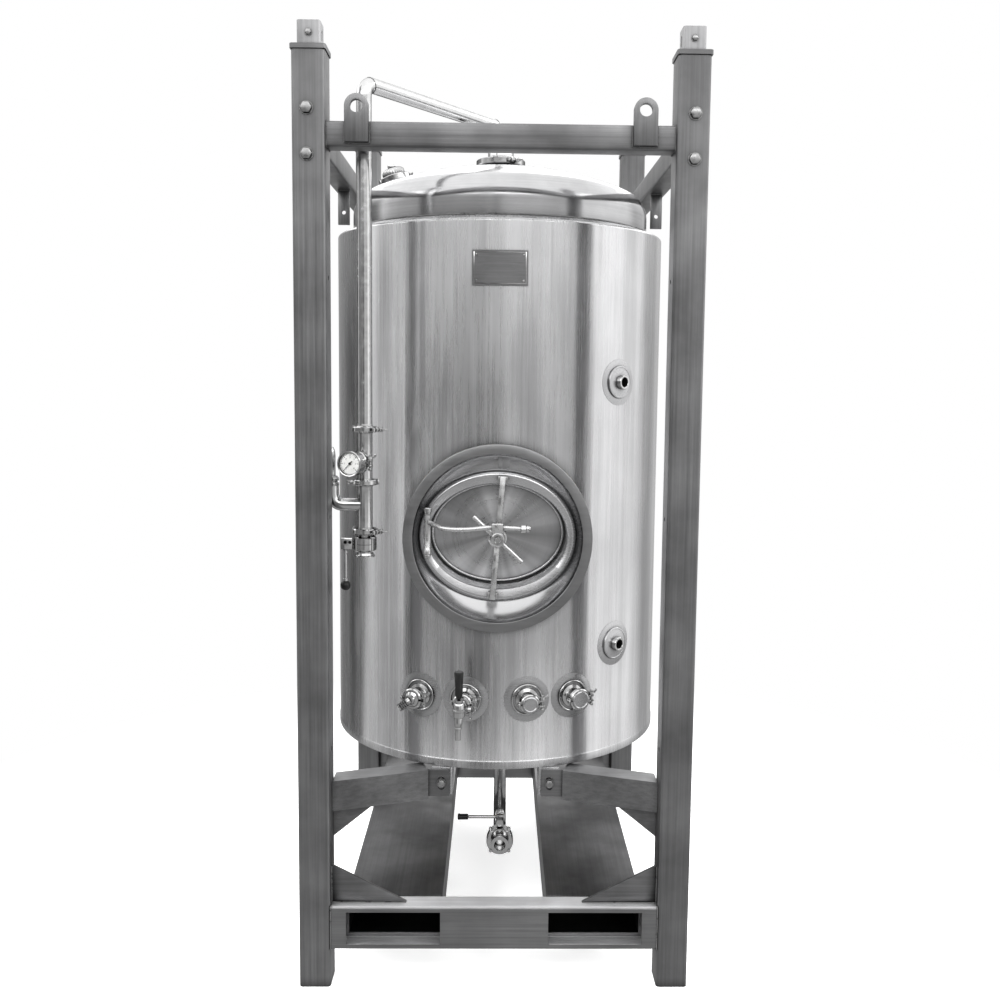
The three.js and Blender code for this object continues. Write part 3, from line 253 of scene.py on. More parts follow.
def prism(outline, z0, z1, bevel=0.8):
    """An outline in local X and Y drawn out along Z, with rounded edges."""
    shape = bmesh.new()
    low = [shape.verts.new((x, y, z0)) for x, y in outline]
    high = [shape.verts.new((x, y, z1)) for x, y in outline]
    shape.faces.new(low[::-1])
    shape.faces.new(high)
    for i in range(len(outline)):
        j = (i + 1) % len(outline)
        shape.faces.new((low[i], low[j], high[j], high[i]))
    bmesh.ops.recalc_face_normals(shape, faces=shape.faces)
    if bevel:
        edges = [edge for edge in shape.edges if edge.calc_face_angle(0) > ROUNDED_ABOVE]
        bmesh.ops.bevel(shape, geom=edges, offset=bevel, segments=2, profile=0.5, affect="EDGES")
    shape.verts.index_update()
    points = [vert.co.copy() for vert in shape.verts]
    faces = [[vert.index for vert in face.verts] for face in shape.faces]
    shape.free()
    return points, faces


def block(low, high, bevel=0.8):
    (x0, y0, z0), (x1, y1, z1) = low, high
    return prism([(x0, y0), (x1, y0), (x1, y1), (x0, y1)], z0, z1, bevel)


def placed(geometry, place):
    points, faces = geometry
    return [place @ point for point in points], faces


def square_tube(axis, low, high, radius=7.0, wall=4.0, chamfer=0.8):
    """A square tube with round corners between two opposite corners, open along one axis."""
    back = ALONG[axis].inverted()
    a, b = back @ Vector(low), back @ Vector(high)
    centre = (a + b) / 2
    half = Vector([abs(value) / 2 for value in (b - a)])
    outer = rounded_rectangle(half.x, half.y, radius)
    inner = rounded_rectangle(half.x - wall, half.y - wall, max(radius - wall, 1.0))
    outer_end = rounded_rectangle(half.x - chamfer, half.y - chamfer, radius)
    z0, z1 = centre.z - half.z, centre.z + half.z
    rows = [(outer, z0 + chamfer), (outer, z1 - chamfer), (outer_end, z1), (inner, z1), (inner, z0),
            (outer_end, z0)]
    rings = [[Vector((centre.x + x, centre.y + y, z)) for x, y in outline] for outline, z in rows]
    return placed(loft(rings, closed=True), ALONG[axis])


def weld(corners, radius=2.2, ripple=2.4):
    """Rippled weld beads along the straight stretches between corners."""
    beads = []
    for start, end in zip(corners, corners[1:]):
        start, end = Vector(start), Vector(end)
        count = max(int((end - start).length / ripple) * 2, 4)
        path = [start.lerp(end, i / count) for i in range(count + 1)]
        radii = [radius * (0.8 + 0.2 * (i % 2)) for i in range(count + 1)]
        radii[0] = radii[-1] = radius * 0.5
        beads.append(sweep(path, radii, 8))
    return beads


def weld_end(axis, place, low, high, radius=2.0):
    """A weld round a tube whose section lies between low and high, at a place along its axis."""
    (a0, b0), (a1, b1) = low, high
    spot = "xyz".index(axis)
    square = [(a0, b0), (a1, b0), (a1, b1), (a0, b1), (a0, b0)]
    return weld([(*pair[:spot], place, *pair[spot:]) for pair in square], radius)


# ---------------------------------------------------------------- finished pieces
def made_of(material, *geometries):
    """(material, geometry) pairs, as a piece takes them. Each geometry is a closed surface."""
    return [(material, geometry) for geometry in geometries]


def moved(parts, place):
    return [(material, placed(geometry, place)) for material, geometry in parts]


def mesh_of(name, parts):
    points = []
    faces = []
    slots = []
    materials = list(dict.fromkeys(material for material, _ in parts))
    for material, (part_points, part_faces) in parts:
        start = len(points)
        points += [point * MM for point in part_points]
        faces += [[start + index for index in face] for face in part_faces]
        slots += [materials.index(material)] * len(part_faces)
    mesh = bpy.data.meshes.new(name)
    mesh.from_pydata(points, [], faces)
    mesh.polygons.foreach_set("material_index", slots)
    for material in materials:
        mesh.materials.append(MATERIALS[material])
    outward = bmesh.new()
    outward.from_mesh(mesh)
    bmesh.ops.recalc_face_normals(outward, faces=outward.faces)
    outward.to_mesh(mesh)
    outward.free()
    return mesh


def carve(obj, cutters):
    """Cuts geometries out of an object's mesh."""
    tool = new_object("cutter", mesh_of("cutter", made_of(None, *cutters)))
    modifier = obj.modifiers.new("cut", "BOOLEAN")
    modifier.operation = "DIFFERENCE"
    modifier.solver = "EXACT"
    modifier.object = tool
    bpy.context.view_layer.update()
    evaluated = obj.evaluated_get(bpy.context.evaluated_depsgraph_get())
    cut = bpy.data.meshes.new_from_object(evaluated)
    obj.modifiers.remove(modifier)
    obj.data = cut
    bpy.data.objects.remove(tool)


def piece(name, parts, nodes=(), body=STATIC, cutters=()):
    """Makes one piece from (material, geometry) pairs. It stands for CAD nodes and rides on a body.

    Cutters are used on shells that don't run into each other, because the cut needs clean solids.
    """
    obj = new_object(name, mesh_of(name, parts))
    if cutters:
        carve(obj, cutters)
    mesh = obj.data
    mesh.polygons.foreach_set("use_smooth", [True] * len(mesh.polygons))
    mesh.set_sharp_from_angle(angle=SMOOTH_BELOW)
    mesh.update()
    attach(obj, body)
    if nodes:
        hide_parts(*nodes)


def fitting(name, node, geometries, body=STATIC, material="fitting"):
    """A piece of the tank's steel fittings, all in one material."""
    piece(name, made_of(material, *geometries), [node], body)


def dress(name, material, bevel=0.0):
    """Gives a CAD node that stays its material, and rounds its edges where bevel is set."""
    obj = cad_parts[name]
    obj.data.materials.clear()
    obj.data.materials.append(MATERIALS[material])
    if bevel:
        join = obj.modifiers.new("join", "WELD")
        join.merge_threshold = CAD_MERGE_DISTANCE
        soften = obj.modifiers.new("soften", "BEVEL")
        soften.width = bevel * MM
        soften.segments = 2
        soften.limit_method = "ANGLE"
        soften.angle_limit = CAD_ROUNDED_ABOVE
        soften.harden_normals = True


# ---------------------------------------------------------------- materials
MATERIALS = {None: None}
BACKDROP = 1.0
FLOOR_GLOW = 0.62
WHITE = (1, 1, 1, 1)
TANK_REACH = 0.476
MANWAY_REACH = 0.16
MANWAY_Z = 1152
GRAIN_STRETCH = 0.012


class Shader:
    """A material's or world's nodes, made one at a time."""

    def __init__(self, owner):
        owner.use_nodes = True
        self.tree = owner.node_tree
        self.tree.nodes.clear()

    def add(self, kind, inputs=None, **settings):
        made = self.tree.nodes.new("ShaderNode" + kind)
        for name, value in settings.items():
            setattr(made, name, value)
        for key, value in (inputs or {}).items():
            if isinstance(value, bpy.types.NodeSocket):
                self.tree.links.new(value, made.inputs[key])
            else:
                made.inputs[key].default_value = value
        return made

    def math(self, operation, *values):
        return self.add("Math", dict(enumerate(values)), operation=operation).outputs[0]

    def times(self, first, second):
        return self.math("MULTIPLY", first, second)

    def plus(self, first, second):
        return self.math("ADD", first, second)

    def parts_of(self, vector):
        return self.add("SeparateXYZ", {0: vector}).outputs

    def spread(self, value, low, high, to_low, to_high):
        return self.add("MapRange", {0: value, 1: low, 2: high, 3: to_low, 4: to_high}).outputs[0]

    def coords(self):
        return self.add("TexCoord").outputs["Object"]

    def noise(self, vector, scale, detail=3.0):
        scale = scale if isinstance(scale, tuple) else (scale, scale, scale)
        mapped = self.add("Mapping", {"Vector": vector, "Scale": scale}).outputs[0]
        return self.add("TexNoise", {"Vector": mapped, "Scale": 1.0, "Detail": detail}).outputs[0]

    def reach(self, first, second):
        return self.math("POWER", self.plus(self.times(first, first), self.times(second, second)), 0.5)

    def azimuth(self, xyz):
        return self.math("ARCTAN2", xyz[0], self.times(xyz[1], -1.0))

    def round_the_tank(self, vector):
        """Azimuth times the jacket's radius, distance from the axis, and height."""
        xyz = self.parts_of(vector)
        round_it = self.times(self.azimuth(xyz), TANK_REACH)
        return self.add("CombineXYZ", {0: round_it, 1: self.reach(xyz[0], xyz[1]), 2: xyz[2]}).outputs[0]

    def round_the_manway(self, vector):
        """A direction from the manway's centre line in x and z, and the distance from it in y."""
        xyz = self.parts_of(vector)
        across, up = xyz[0], self.math("SUBTRACT", xyz[2], MANWAY_Z * MM)
        reach = self.reach(across, up)
        turns = [self.times(self.math("DIVIDE", side, reach), MANWAY_REACH) for side in (across, up)]
        return self.add("CombineXYZ", {0: turns[0], 1: reach, 2: turns[1]}).outputs[0]

    def crevices(self, value, reach=0.012, dark=0.25):
        """Darkens a value where surfaces meet or close in: painted shade, from the ambient occlusion node."""
        near = self.add("AmbientOcclusion", {"Distance": reach}, samples=6).outputs["AO"]
        return self.times(value, self.spread(near, 0.35, 0.95, dark, 1.0))

    def grey(self, tone, blue=1.0):
        last = self.times(tone, blue) if blue != 1.0 else tone
        return self.add("CombineColor", {0: tone, 1: tone, 2: last}).outputs[0]

    def bump(self, strength, distance, height):
        return self.add("Bump", {"Strength": strength, "Distance": distance, "Height": height}).outputs[0]

    def finish(self, surface, kind="OutputMaterial"):
        self.tree.links.new(surface, self.add(kind).inputs["Surface"])

    def finish_principled(self, inputs):
        self.finish(self.add("BsdfPrincipled", inputs).outputs[0])


def new_material(name):
    MATERIALS[name] = bpy.data.materials.new(name)
    return Shader(MATERIALS[name])


def brushed(name, level, roughness, along, fine=900.0, bump=0.25, contrast=0.16, blotch=0.14, wrap=None,
            stretch=0.0, stretch_axis="Z", scuffs_and_painted_top_light=0.0, crease_shade_reach=0.0, painted_reflection_bands=0.0):
    """Brushed steel whose grain runs along local x, y or z.

    wrap runs the grain round the tank or the manway. stretch smears reflections across turning marks
    about an axis. scuffs_and_painted_top_light paints light onto faces that look up, and dulls them as scuffs
    do.
    painted_reflection_bands paints broad stripes of reflection into the tone. crease_shade_reach paints shade
    where surfaces meet, out to that reach in metres.
    """
    shader = new_material(name)
    coords = shader.coords()
    if wrap == "tank":
        coords = shader.round_the_tank(coords)
    if wrap == "manway":
        coords = shader.round_the_manway(coords)
    squeeze = [GRAIN_STRETCH if axis in along else 1.0 for axis in "xyz"]
    hair = shader.noise(coords, tuple(fine * share for share in squeeze), 2.0)
    streak = shader.noise(coords, tuple(fine * 0.18 * share for share in squeeze), 4.0)
    patch = shader.noise(coords, 5.0, 5.0)
    smear = shader.noise(coords, (22.0, 22.0, 3.0))
    mixed = shader.plus(shader.times(hair, 0.35), shader.times(streak, 0.65))
    tone = shader.spread(mixed, 0.3, 0.7, level * (1 - contrast), level * (1 + contrast))
    tone = shader.times(tone, shader.spread(patch, 0.3, 0.7, 1 - blotch, 1 + blotch / 2))
    # Painted reflection: broad stripes of tone, upright round the jacket and in fans on the manway door.
    if painted_reflection_bands:
        stripe = shader.noise(coords, (14.0, 0.0, 14.0 if wrap == "manway" else 0.5))
        tone = shader.times(tone, shader.spread(stripe, 0.35, 0.65, 1 - painted_reflection_bands, 1 + painted_reflection_bands * 0.6))
    rough = shader.spread(mixed, 0.3, 0.7, roughness * 0.8, roughness * 1.2)
    rough = shader.plus(rough, shader.spread(smear, 0.35, 0.7, -0.03, 0.06))
    # Painted light: faces that look up are lightened as if lit from above, and dulled as scuffs do.
    if scuffs_and_painted_top_light:
        upward = shader.parts_of(shader.add("NewGeometry").outputs["Normal"])[2]
        top = shader.spread(upward, 0.6, 0.95, 0.0, 1.0)
        tone = shader.plus(tone, shader.times(top, scuffs_and_painted_top_light))
        rough = shader.plus(rough, shader.times(top, 0.25))
    # Painted shade: the tone darkens where surfaces meet, out to the given reach.
    if crease_shade_reach:
        tone = shader.crevices(tone, crease_shade_reach)
    inputs = {"Base Color": shader.grey(tone, 1.012), "Metallic": 1.0, "Roughness": rough,
              "Normal": shader.bump(bump, 0.0004, mixed)}
    if stretch:
        inputs["Anisotropic"] = stretch
        inputs["Anisotropic Rotation"] = 0.25
        inputs["Tangent"] = shader.add("Tangent", direction_type="RADIAL", axis=stretch_axis).outputs[0]
    shader.finish_principled(inputs)


def polished(name, level, roughness, crease_shade_reach=0.008, edge=0.2):
    """Polished fittings with faint smudges, fine turning marks and painted shade in their joints.

    edge tints the reflections at grazing angles.
    """
    shader = new_material(name)
    coords = shader.coords()
    smudge = shader.noise(coords, 60.0, 5.0)
    marks = shader.noise(coords, 900.0, 2.0)
    # Painted shade: the tone darkens to 0.08 where surfaces meet.
    tone = shader.crevices(shader.spread(smudge, 0.3, 0.7, level * 0.88, level * 1.06), crease_shade_reach, 0.08)
    shader.finish_principled({"Base Color": shader.grey(tone), "Metallic": 1.0,
                              "Roughness": shader.spread(smudge, 0.35, 0.7, roughness * 0.6, roughness * 1.9),
                              "Normal": shader.bump(0.08, 0.0003, marks),
                              "Specular Tint": (edge, edge, edge, 1.0)})


def moulded(name, colour, roughness, grain=0.12, size=1400.0, gloss=0.5):
    """Plastic, rubber, foam or paint with a fine moulded grain and a few scuffs."""
    shader = new_material(name)
    coords = shader.coords()
    pebble = shader.noise(coords, size)
    scuff = shader.noise(coords, (90.0, 90.0, 30.0), 5.0)
    lighter = tuple(min(channel * 1.35 + 0.012, 1.0) for channel in colour)
    share = shader.spread(scuff, 0.5, 0.75, 0.0, 1.0)
    mixed = shader.add("Mix", {0: share, 6: (*colour, 1.0), 7: (*lighter, 1.0)}, data_type="RGBA").outputs[2]
    rough = shader.spread(scuff, 0.35, 0.7, roughness, min(roughness * 1.35, 1.0))
    shader.finish_principled({"Base Color": mixed, "Normal": shader.bump(grain, 0.0003, pebble),
                              "Roughness": rough, "Specular IOR Level": gloss})


def make_floor_material():
    """A pale matt floor that takes soft shadows near the frame and fades into the backdrop."""
    shader = new_material("floor")
    coords = shader.coords()
    tone = shader.spread(shader.noise(coords, 300.0), 0.3, 0.7, 0.86, 0.9)
    lit = shader.add("BsdfPrincipled", {"Base Color": shader.grey(tone), "Roughness": 0.9,
                                        "Emission Color": WHITE, "Emission Strength": FLOOR_GLOW}).outputs[0]
    pale = shader.add("Emission", {"Color": WHITE, "Strength": BACKDROP}).outputs[0]
    away = shader.add("VectorMath", {0: coords}, operation="LENGTH").outputs["Value"]
    share = shader.spread(away, 0.7, 2.2, 0.0, 1.0)
    shader.finish(shader.add("MixShader", {0: share, 1: lit, 2: pale}).outputs[0])


def make_gauge_glass():
    shader = new_material("gauge_glass")
    clear = shader.add("BsdfTransparent").outputs[0]
    gloss = shader.add("BsdfGlossy", {"Roughness": 0.04}).outputs[0]
    edge = shader.add("Fresnel", {"IOR": 1.45}).outputs[0]
    dust = shader.noise(shader.coords(), 400.0, 4.0)
    share = shader.plus(edge, shader.spread(dust, 0.5, 0.8, 0.0, 0.05))
    shader.finish(shader.add("MixShader", {0: share, 1: clear, 2: gloss}).outputs[0])


def make_materials():
    for axis in "xyz":
        brushed(f"frame_{axis}", 0.30, 0.4, axis, contrast=0.2, blotch=0.35, bump=0.3, crease_shade_reach=0.03)
    brushed("beam_top", 0.34, 0.4, "x", contrast=0.2, blotch=0.25, bump=0.3, scuffs_and_painted_top_light=0.6, crease_shade_reach=0.02)
    # The channel's 0.2 m reach paints deep shade inside it.
    brushed("channel", 0.17, 0.42, "y", contrast=0.25, blotch=0.6, bump=0.3, crease_shade_reach=0.2)
    brushed("spigot", 0.62, 0.4, "z", contrast=0.2, blotch=0.4, crease_shade_reach=0.01)
    brushed("jacket", 0.66, 0.25, "z", bump=0.1, contrast=0.06, blotch=0.1, stretch=0.8, wrap="tank",
            painted_reflection_bands=0.2, crease_shade_reach=0.03)
    brushed("shoulder", 0.72, 0.26, "x", bump=0.12, contrast=0.08, stretch=0.5, wrap="tank")
    brushed("dome", 0.62, 0.17, "x", bump=0.05, contrast=0.07, blotch=0.2, wrap="tank", crease_shade_reach=0.03)
    brushed("band", 0.36, 0.36, "x", bump=0.1, contrast=0.08)
    brushed("cone", 0.64, 0.2, "x", bump=0.03, contrast=0.03, blotch=0.06)
    brushed("lip", 0.8, 0.23, "x", bump=0.04, contrast=0.05, crease_shade_reach=0.02)
    brushed("door", 0.6, 0.3, "xz", bump=0.05, contrast=0.05, blotch=0.15, stretch=0.7, stretch_axis="Y",
            wrap="manway", crease_shade_reach=0.02, painted_reflection_bands=0.3)
    brushed("rosette", 0.64, 0.28, "x", fine=1200.0, bump=0.1, contrast=0.08, crease_shade_reach=0.012)
    brushed("plate", 0.26, 0.42, "x", fine=1400.0)
    polished("fitting", 0.72, 0.12)
    polished("bolt", 0.46, 0.3, 0.012)
    polished("pipe", 0.8, 0.15, 0.01, 0.5)
    polished("satin", 0.86, 0.27, 0.01, 0.1)
    polished("relief", 0.7, 0.2, 0.02)
    polished("weld_steel", 0.34, 0.35)
    moulded("black_plastic", (0.008, 0.008, 0.008), 0.28, gloss=0.3)
    # Near black, painted where holes show only shade: the sensor sockets' bores and the lever head's sockets.
    moulded("painted_hole_shade", (0.006, 0.006, 0.006), 0.6, gloss=0.1)
    moulded("rubber", (0.02, 0.02, 0.02), 0.7, 0.3)
    moulded("foam", (0.72, 0.56, 0.28), 0.9, 0.6, 500.0)
    moulded("dial_white", (0.94, 0.94, 0.92), 0.5, 0.03)
    moulded("dial_black", (0.01, 0.01, 0.01), 0.5, 0.03)
    make_floor_material()
    make_gauge_glass()


# ---------------------------------------------------------------- frame
POST_WALL = 4.0
TUBE_WALL = 3.0
DRAIN_HOLES_Z = (620, 1217, 1807)
HEAD_BOLT_X = 464
HEAD_BOLT_Y = 600
HEAD_BOLTS_Z = (2095, 2202)
HEAD_TUBE_HALF = 35
HEAD_TUBE_BASE = 2050
CAP_HALF = 43
CAP_THICKNESS = 12
SPIGOT_HALF = 28
TOP_BEAM_SIZE = 60
TOP_BEAM_FACE = 589
SIDE_BEAM_FACE = 494
LUG_X = 345.5
LUG_CENTRE_Z = 2208
LUG_RADIUS = 29
LUG_THICKNESS = 14
LUG_HOLE = 15.5
LUG_BASE_Z = 2125
LUG_SEAM_TOP = 2172
TAB_HALF = 17
TAB_Z = (2014, 2117)
TAB_HOLE_Z = 2050
GUSSET_X = 226
GUSSET_TOP = 315
GUSSET_SETBACK = 26
BASE_BEAM = ((-598, 100), (-538, 215))
POCKET = (139, 380, 114, 200)
POST_LOW, POST_HIGH = node_box("post_front_left")
POST_INNER_X, POST_INNER_Y = -POST_HIGH.x, -POST_HIGH.y
POST_X = -(POST_LOW.x + POST_HIGH.x) / 2
POST_Y = -(POST_LOW.y + POST_HIGH.y) / 2
TOP_BEAM_TOP = node_box("top_beam_left")[1].z
TOP_BEAM_BASE = TOP_BEAM_TOP - TOP_BEAM_SIZE


def bolt(place, reach, size, to="front"):
    """A hexagon head with its washer that faces the front or along y, and its shank behind."""
    top = size * 0.66
    washer = lathe([(0, 0), (size * 1.2, 0), (size * 1.22, 0.4), (size * 1.2, 1.6), (0, 1.6)], 40)
    face = lathe([(0, size * 0.7), (size * 0.72, size * 0.7), (size * 0.8, top), (size * 0.8, 2), (0, 2)], 36)
    shank = rod((0, 0, 1), (0, 0, -reach), size * 0.58)
    return moved(made_of("bolt", prism(hexagon(size), 1.6, top, 0.9), face, washer, shank), at(*place, to))


def make_posts():
    for corner, (side, _) in CORNERS.items():
        low, high = node_box("post_" + corner)
        x, y = side * POST_INNER_X, (low.y + high.y) / 2
        holes = [rod((x - 8, y, z), (x + 8, y, z), 6) for z in DRAIN_HOLES_Z]
        tube = square_tube("z", low, high, 8, POST_WALL)
        piece("frame_post_" + corner, made_of("frame_z", tube), ["post_" + corner],
              cutters=holes)


def upright_tube(x, y, half, z0, z1, radius, wall):
    return square_tube("z", (x - half, y - half, z0), (x + half, y + half, z1), radius, wall)


def make_stacking_heads():
    cap_base = POST_HIGH.z + GAP
    cap_top = cap_base + CAP_THICKNESS
    top = node_box("stacking_head_front_left")[1].z
    middle = (cap_top + top) / 2
    for corner, (side, end) in CORNERS.items():
        x, y = side * POST_X, end * POST_Y
        slot_x = x - side * SPIGOT_HALF
        slot = block((slot_x - 9, y - 5, middle - 12), (slot_x + 9, y + 5, middle + 12), 0)
        spigot = upright_tube(x, y, SPIGOT_HALF, cap_top - 1, top, 6, 5)
        nodes = ["stacking_head_" + corner]
        piece("stacking_spigot_" + corner, made_of("spigot", spigot), nodes, cutters=[slot])
        parts = made_of("frame_x", upright_tube(x, y, CAP_HALF, cap_base, cap_top, 6, 20))
        parts += made_of("frame_z", upright_tube(x, y, HEAD_TUBE_HALF, HEAD_TUBE_BASE, cap_base + 1, 5, 5))
        seam = SPIGOT_HALF + 0.5
        beads = weld_end("z", cap_top, (x - seam, y - seam), (x + seam, y + seam), 2.2)
        parts += made_of("weld_steel", *beads)
        to = "front" if end < 0 else "y"
        for z in HEAD_BOLTS_Z:
            parts += bolt((side * HEAD_BOLT_X, end * HEAD_BOLT_Y, z), 26, 13.8, to)
        parts += bolt((x, y + end * SPIGOT_HALF, middle), 8, 7.5, to)
        piece("stacking_head_piece_" + corner, parts, nodes)


def make_beam(name, place, parts, cutters, extras, suffix="_welds"):
    """One beam mirrored into its place, with its welds or gussets as a second piece."""
    cutters = [placed(cutter, place) for cutter in cutters]
    piece(name + "_piece", moved(parts, place), [name], cutters=cutters)
    piece(name + suffix, moved(extras, place))


def make_front_beams():
    """The top beams at the front and rear with their lifting lugs."""
    end = POST_INNER_X - GAP
    face = -TOP_BEAM_FACE
    low, high = (-end, face, TOP_BEAM_BASE), (end, face + TOP_BEAM_SIZE, TOP_BEAM_TOP)
    outline = [(-LUG_RADIUS, LUG_BASE_Z), (LUG_RADIUS, LUG_BASE_Z)]
    outline += arc(0, LUG_CENTRE_Z, LUG_RADIUS, 0, 180, 24)
    lug = prism(outline, TOP_BEAM_FACE - 1, TOP_BEAM_FACE + LUG_THICKNESS, 1.2)
    parts = made_of("frame_x", square_tube("x", low, high, 6, TUBE_WALL))
    holes = []
    beads = []
    for side in BOTH:
        x = side * LUG_X
        parts += made_of("frame_z", placed(lug, at(x, 0, 0, "front")))
        holes.append(rod((x, face - 30, LUG_CENTRE_Z), (x, face + 10, LUG_CENTRE_Z), LUG_HOLE, 48))
        left, right = x - LUG_RADIUS - 1, x + LUG_RADIUS + 1
        seam_z = LUG_BASE_Z - 1
        seam = [(left, LUG_SEAM_TOP), (left, seam_z), (right, seam_z), (right, LUG_SEAM_TOP)]
        beads += weld([(seam_x, face - 1, z) for seam_x, z in seam], 2.4)
        beads += weld_end("x", side * end, low[1:], high[1:])
    for name, y in (("top_beam_front", 1), ("top_beam_rear", -1)):
        make_beam(name, mirror(y=y), parts, holes, made_of("weld_steel", *beads))


def make_side_beams():
    """The top beams at the left and right with a drilled tab each."""
    inner = SIDE_BEAM_FACE - TOP_BEAM_SIZE
    middle = SIDE_BEAM_FACE - TOP_BEAM_SIZE / 2
    end = POST_INNER_Y - GAP
    tube = square_tube("y", (inner, -end, TOP_BEAM_BASE), (SIDE_BEAM_FACE, end, TOP_BEAM_TOP), 6, TUBE_WALL)
    tab = block((middle - TAB_HALF, -4, TAB_Z[0]), (middle + TAB_HALF, 4, TAB_Z[1]), 1.0)
    hole = rod((middle, -10, TAB_HOLE_Z), (middle, 10, TAB_HOLE_Z), 6)
    seam_z = TAB_Z[1] - 2
    beads = weld([(middle - TAB_HALF, -5, seam_z), (middle + TAB_HALF, -5, seam_z)], 2.6)
    for y in (-end, end):
        beads += weld_end("y", y, (inner, TOP_BEAM_BASE), (SIDE_BEAM_FACE, TOP_BEAM_TOP))
    parts = made_of("frame_y", tube) + made_of("frame_z", tab)
    for name, x in (("top_beam_left", -1), ("top_beam_right", 1)):
        make_beam(name, mirror(x=x), parts, [hole], made_of("weld_steel", *beads))


def make_base_beams():
    """The base beams at the front and rear with their fork pockets and gussets."""
    (front, bottom), (back, top) = BASE_BEAM
    end = POST_INNER_X - GAP
    x0, x1, z0, z1 = POCKET
    tube = square_tube("x", (-end, front, bottom), (end, back, top), 7, 5)
    pocket = block((x0, front - 5, z0), (x1, back + 5, z1), 0)
    gusset = [(end, top - 1), (GUSSET_X, top - 1), (GUSSET_X + 4, top + 3), (end, GUSSET_TOP)]
    depth = -front - GUSSET_SETBACK
    seam = [(GUSSET_X + 2, top), (end, top), (end, GUSSET_TOP - 3)]
    extras = []
    for side in BOTH:
        plate = prism([(side * x, z) for x, z in gusset], depth - 8, depth, 1.0)
        beads = weld([(side * x, -depth - 2, z) for x, z in seam])
        beads += weld_end("x", side * end, (front, bottom), (back, top))
        extras += made_of("frame_x", placed(plate, ALONG["front"])) + made_of("weld_steel", *beads)
    for name, y in (("base_beam_front", 1), ("base_beam_rear", -1)):
        pockets = [placed(pocket, mirror(x=side)) for side in BOTH]
        make_beam(name, mirror(y=y), made_of("beam_top", tube), pockets, extras, "_gussets")


def make_frame():
    make_posts()
    make_stacking_heads()
    make_front_beams()
    make_side_beams()
    make_base_beams()
    for side in ("left", "right"):
        dress("fork_channel_" + side, "channel", 2.5)
    for corner in CORNERS:
        dress("support_arm_" + corner, "frame_x", 2.0)


# ---------------------------------------------------------------- tank
JACKET_RADIUS = 476
JACKET_LOW, JACKET_HIGH = node_box("jacket_cladding")
JACKET_BOTTOM = JACKET_LOW.z
SHOULDER_TOP = JACKET_HIGH.z
JACKET_TOP = SHOULDER_TOP - 20
VESSEL_RADIUS = 432
VESSEL_WALL = 4
HEAD_SEAM = node_box("vessel_top_head")[0].z
HEAD_TANGENT = 2030
CROWN_RADIUS = 1000
KNUCKLE_RADIUS = 75
BOTTOM_TANGENT = 690
BOTTOM_DISH = 105
FINE = 256
RELIEF_X = -305
RELIEF_TILT = math.asin(-RELIEF_X / CROWN_RADIUS)


def head_meridian(offset, steps=20):
    """(radius, z) points of the top head from its crown to its rim, set in by an offset."""
    knuckle_r = VESSEL_RADIUS - KNUCKLE_RADIUS
    reach = CROWN_RADIUS - KNUCKLE_RADIUS
    crown_z = HEAD_TANGENT - math.sqrt(reach ** 2 - knuckle_r ** 2)
    meet = 90 - math.degrees(math.asin(knuckle_r / reach))
    crown = arc(0, crown_z, CROWN_RADIUS - offset, 90, meet, steps)
    return crown + arc(knuckle_r, HEAD_TANGENT, KNUCKLE_RADIUS - offset, meet, 0, steps)[1:]


CROWN_TOP = head_meridian(0)[0][1]
FERRULE_TOP = CROWN_TOP + 20


def on_dome(height):
    """Local Z runs along the relief valve's axis, from a height above the dome."""
    axis = Vector((-math.sin(RELIEF_TILT), 0, math.cos(RELIEF_TILT)))
    origin = Vector((0, 0, CROWN_TOP - CROWN_RADIUS)) + axis * (CROWN_RADIUS + height)
    return basis((math.cos(RELIEF_TILT), 0, math.sin(RELIEF_TILT)), (0, 1, 0), axis, origin)


def make_jacket():
    inner = JACKET_RADIUS - 2
    rim = JACKET_RADIUS + 2
    sheet = [(inner, JACKET_BOTTOM), (rim - 1.2, JACKET_BOTTOM), (rim, JACKET_BOTTOM + 1.2),
             (rim, JACKET_BOTTOM + 19), (rim - 0.8, JACKET_BOTTOM + 21), (JACKET_RADIUS, JACKET_BOTTOM + 23)]
    sheet += arc(JACKET_RADIUS - 8, JACKET_TOP - 2, 8, 0, 70)
    sheet += [(VESSEL_RADIUS + 3, SHOULDER_TOP - 0.6), (VESSEL_RADIUS + 1.5, SHOULDER_TOP),
              (VESSEL_RADIUS + 1.5, SHOULDER_TOP - 2.5), (JACKET_RADIUS - 7, JACKET_TOP + 3.5),
              (inner, JACKET_TOP - 1)]
    hole = rod((0, -600, MANWAY_Z), (0, -200, MANWAY_Z), COLLAR_RADIUS + 0.5, 128)
    piece("jacket_sheet", made_of("jacket", lathe(sheet, FINE)), ["jacket_cladding"],
          cutters=[hole])
    bead = torus(VESSEL_RADIUS + 2, SHOULDER_TOP, 2.6, FINE)
    piece("shoulder_seam", made_of("weld_steel", bead))


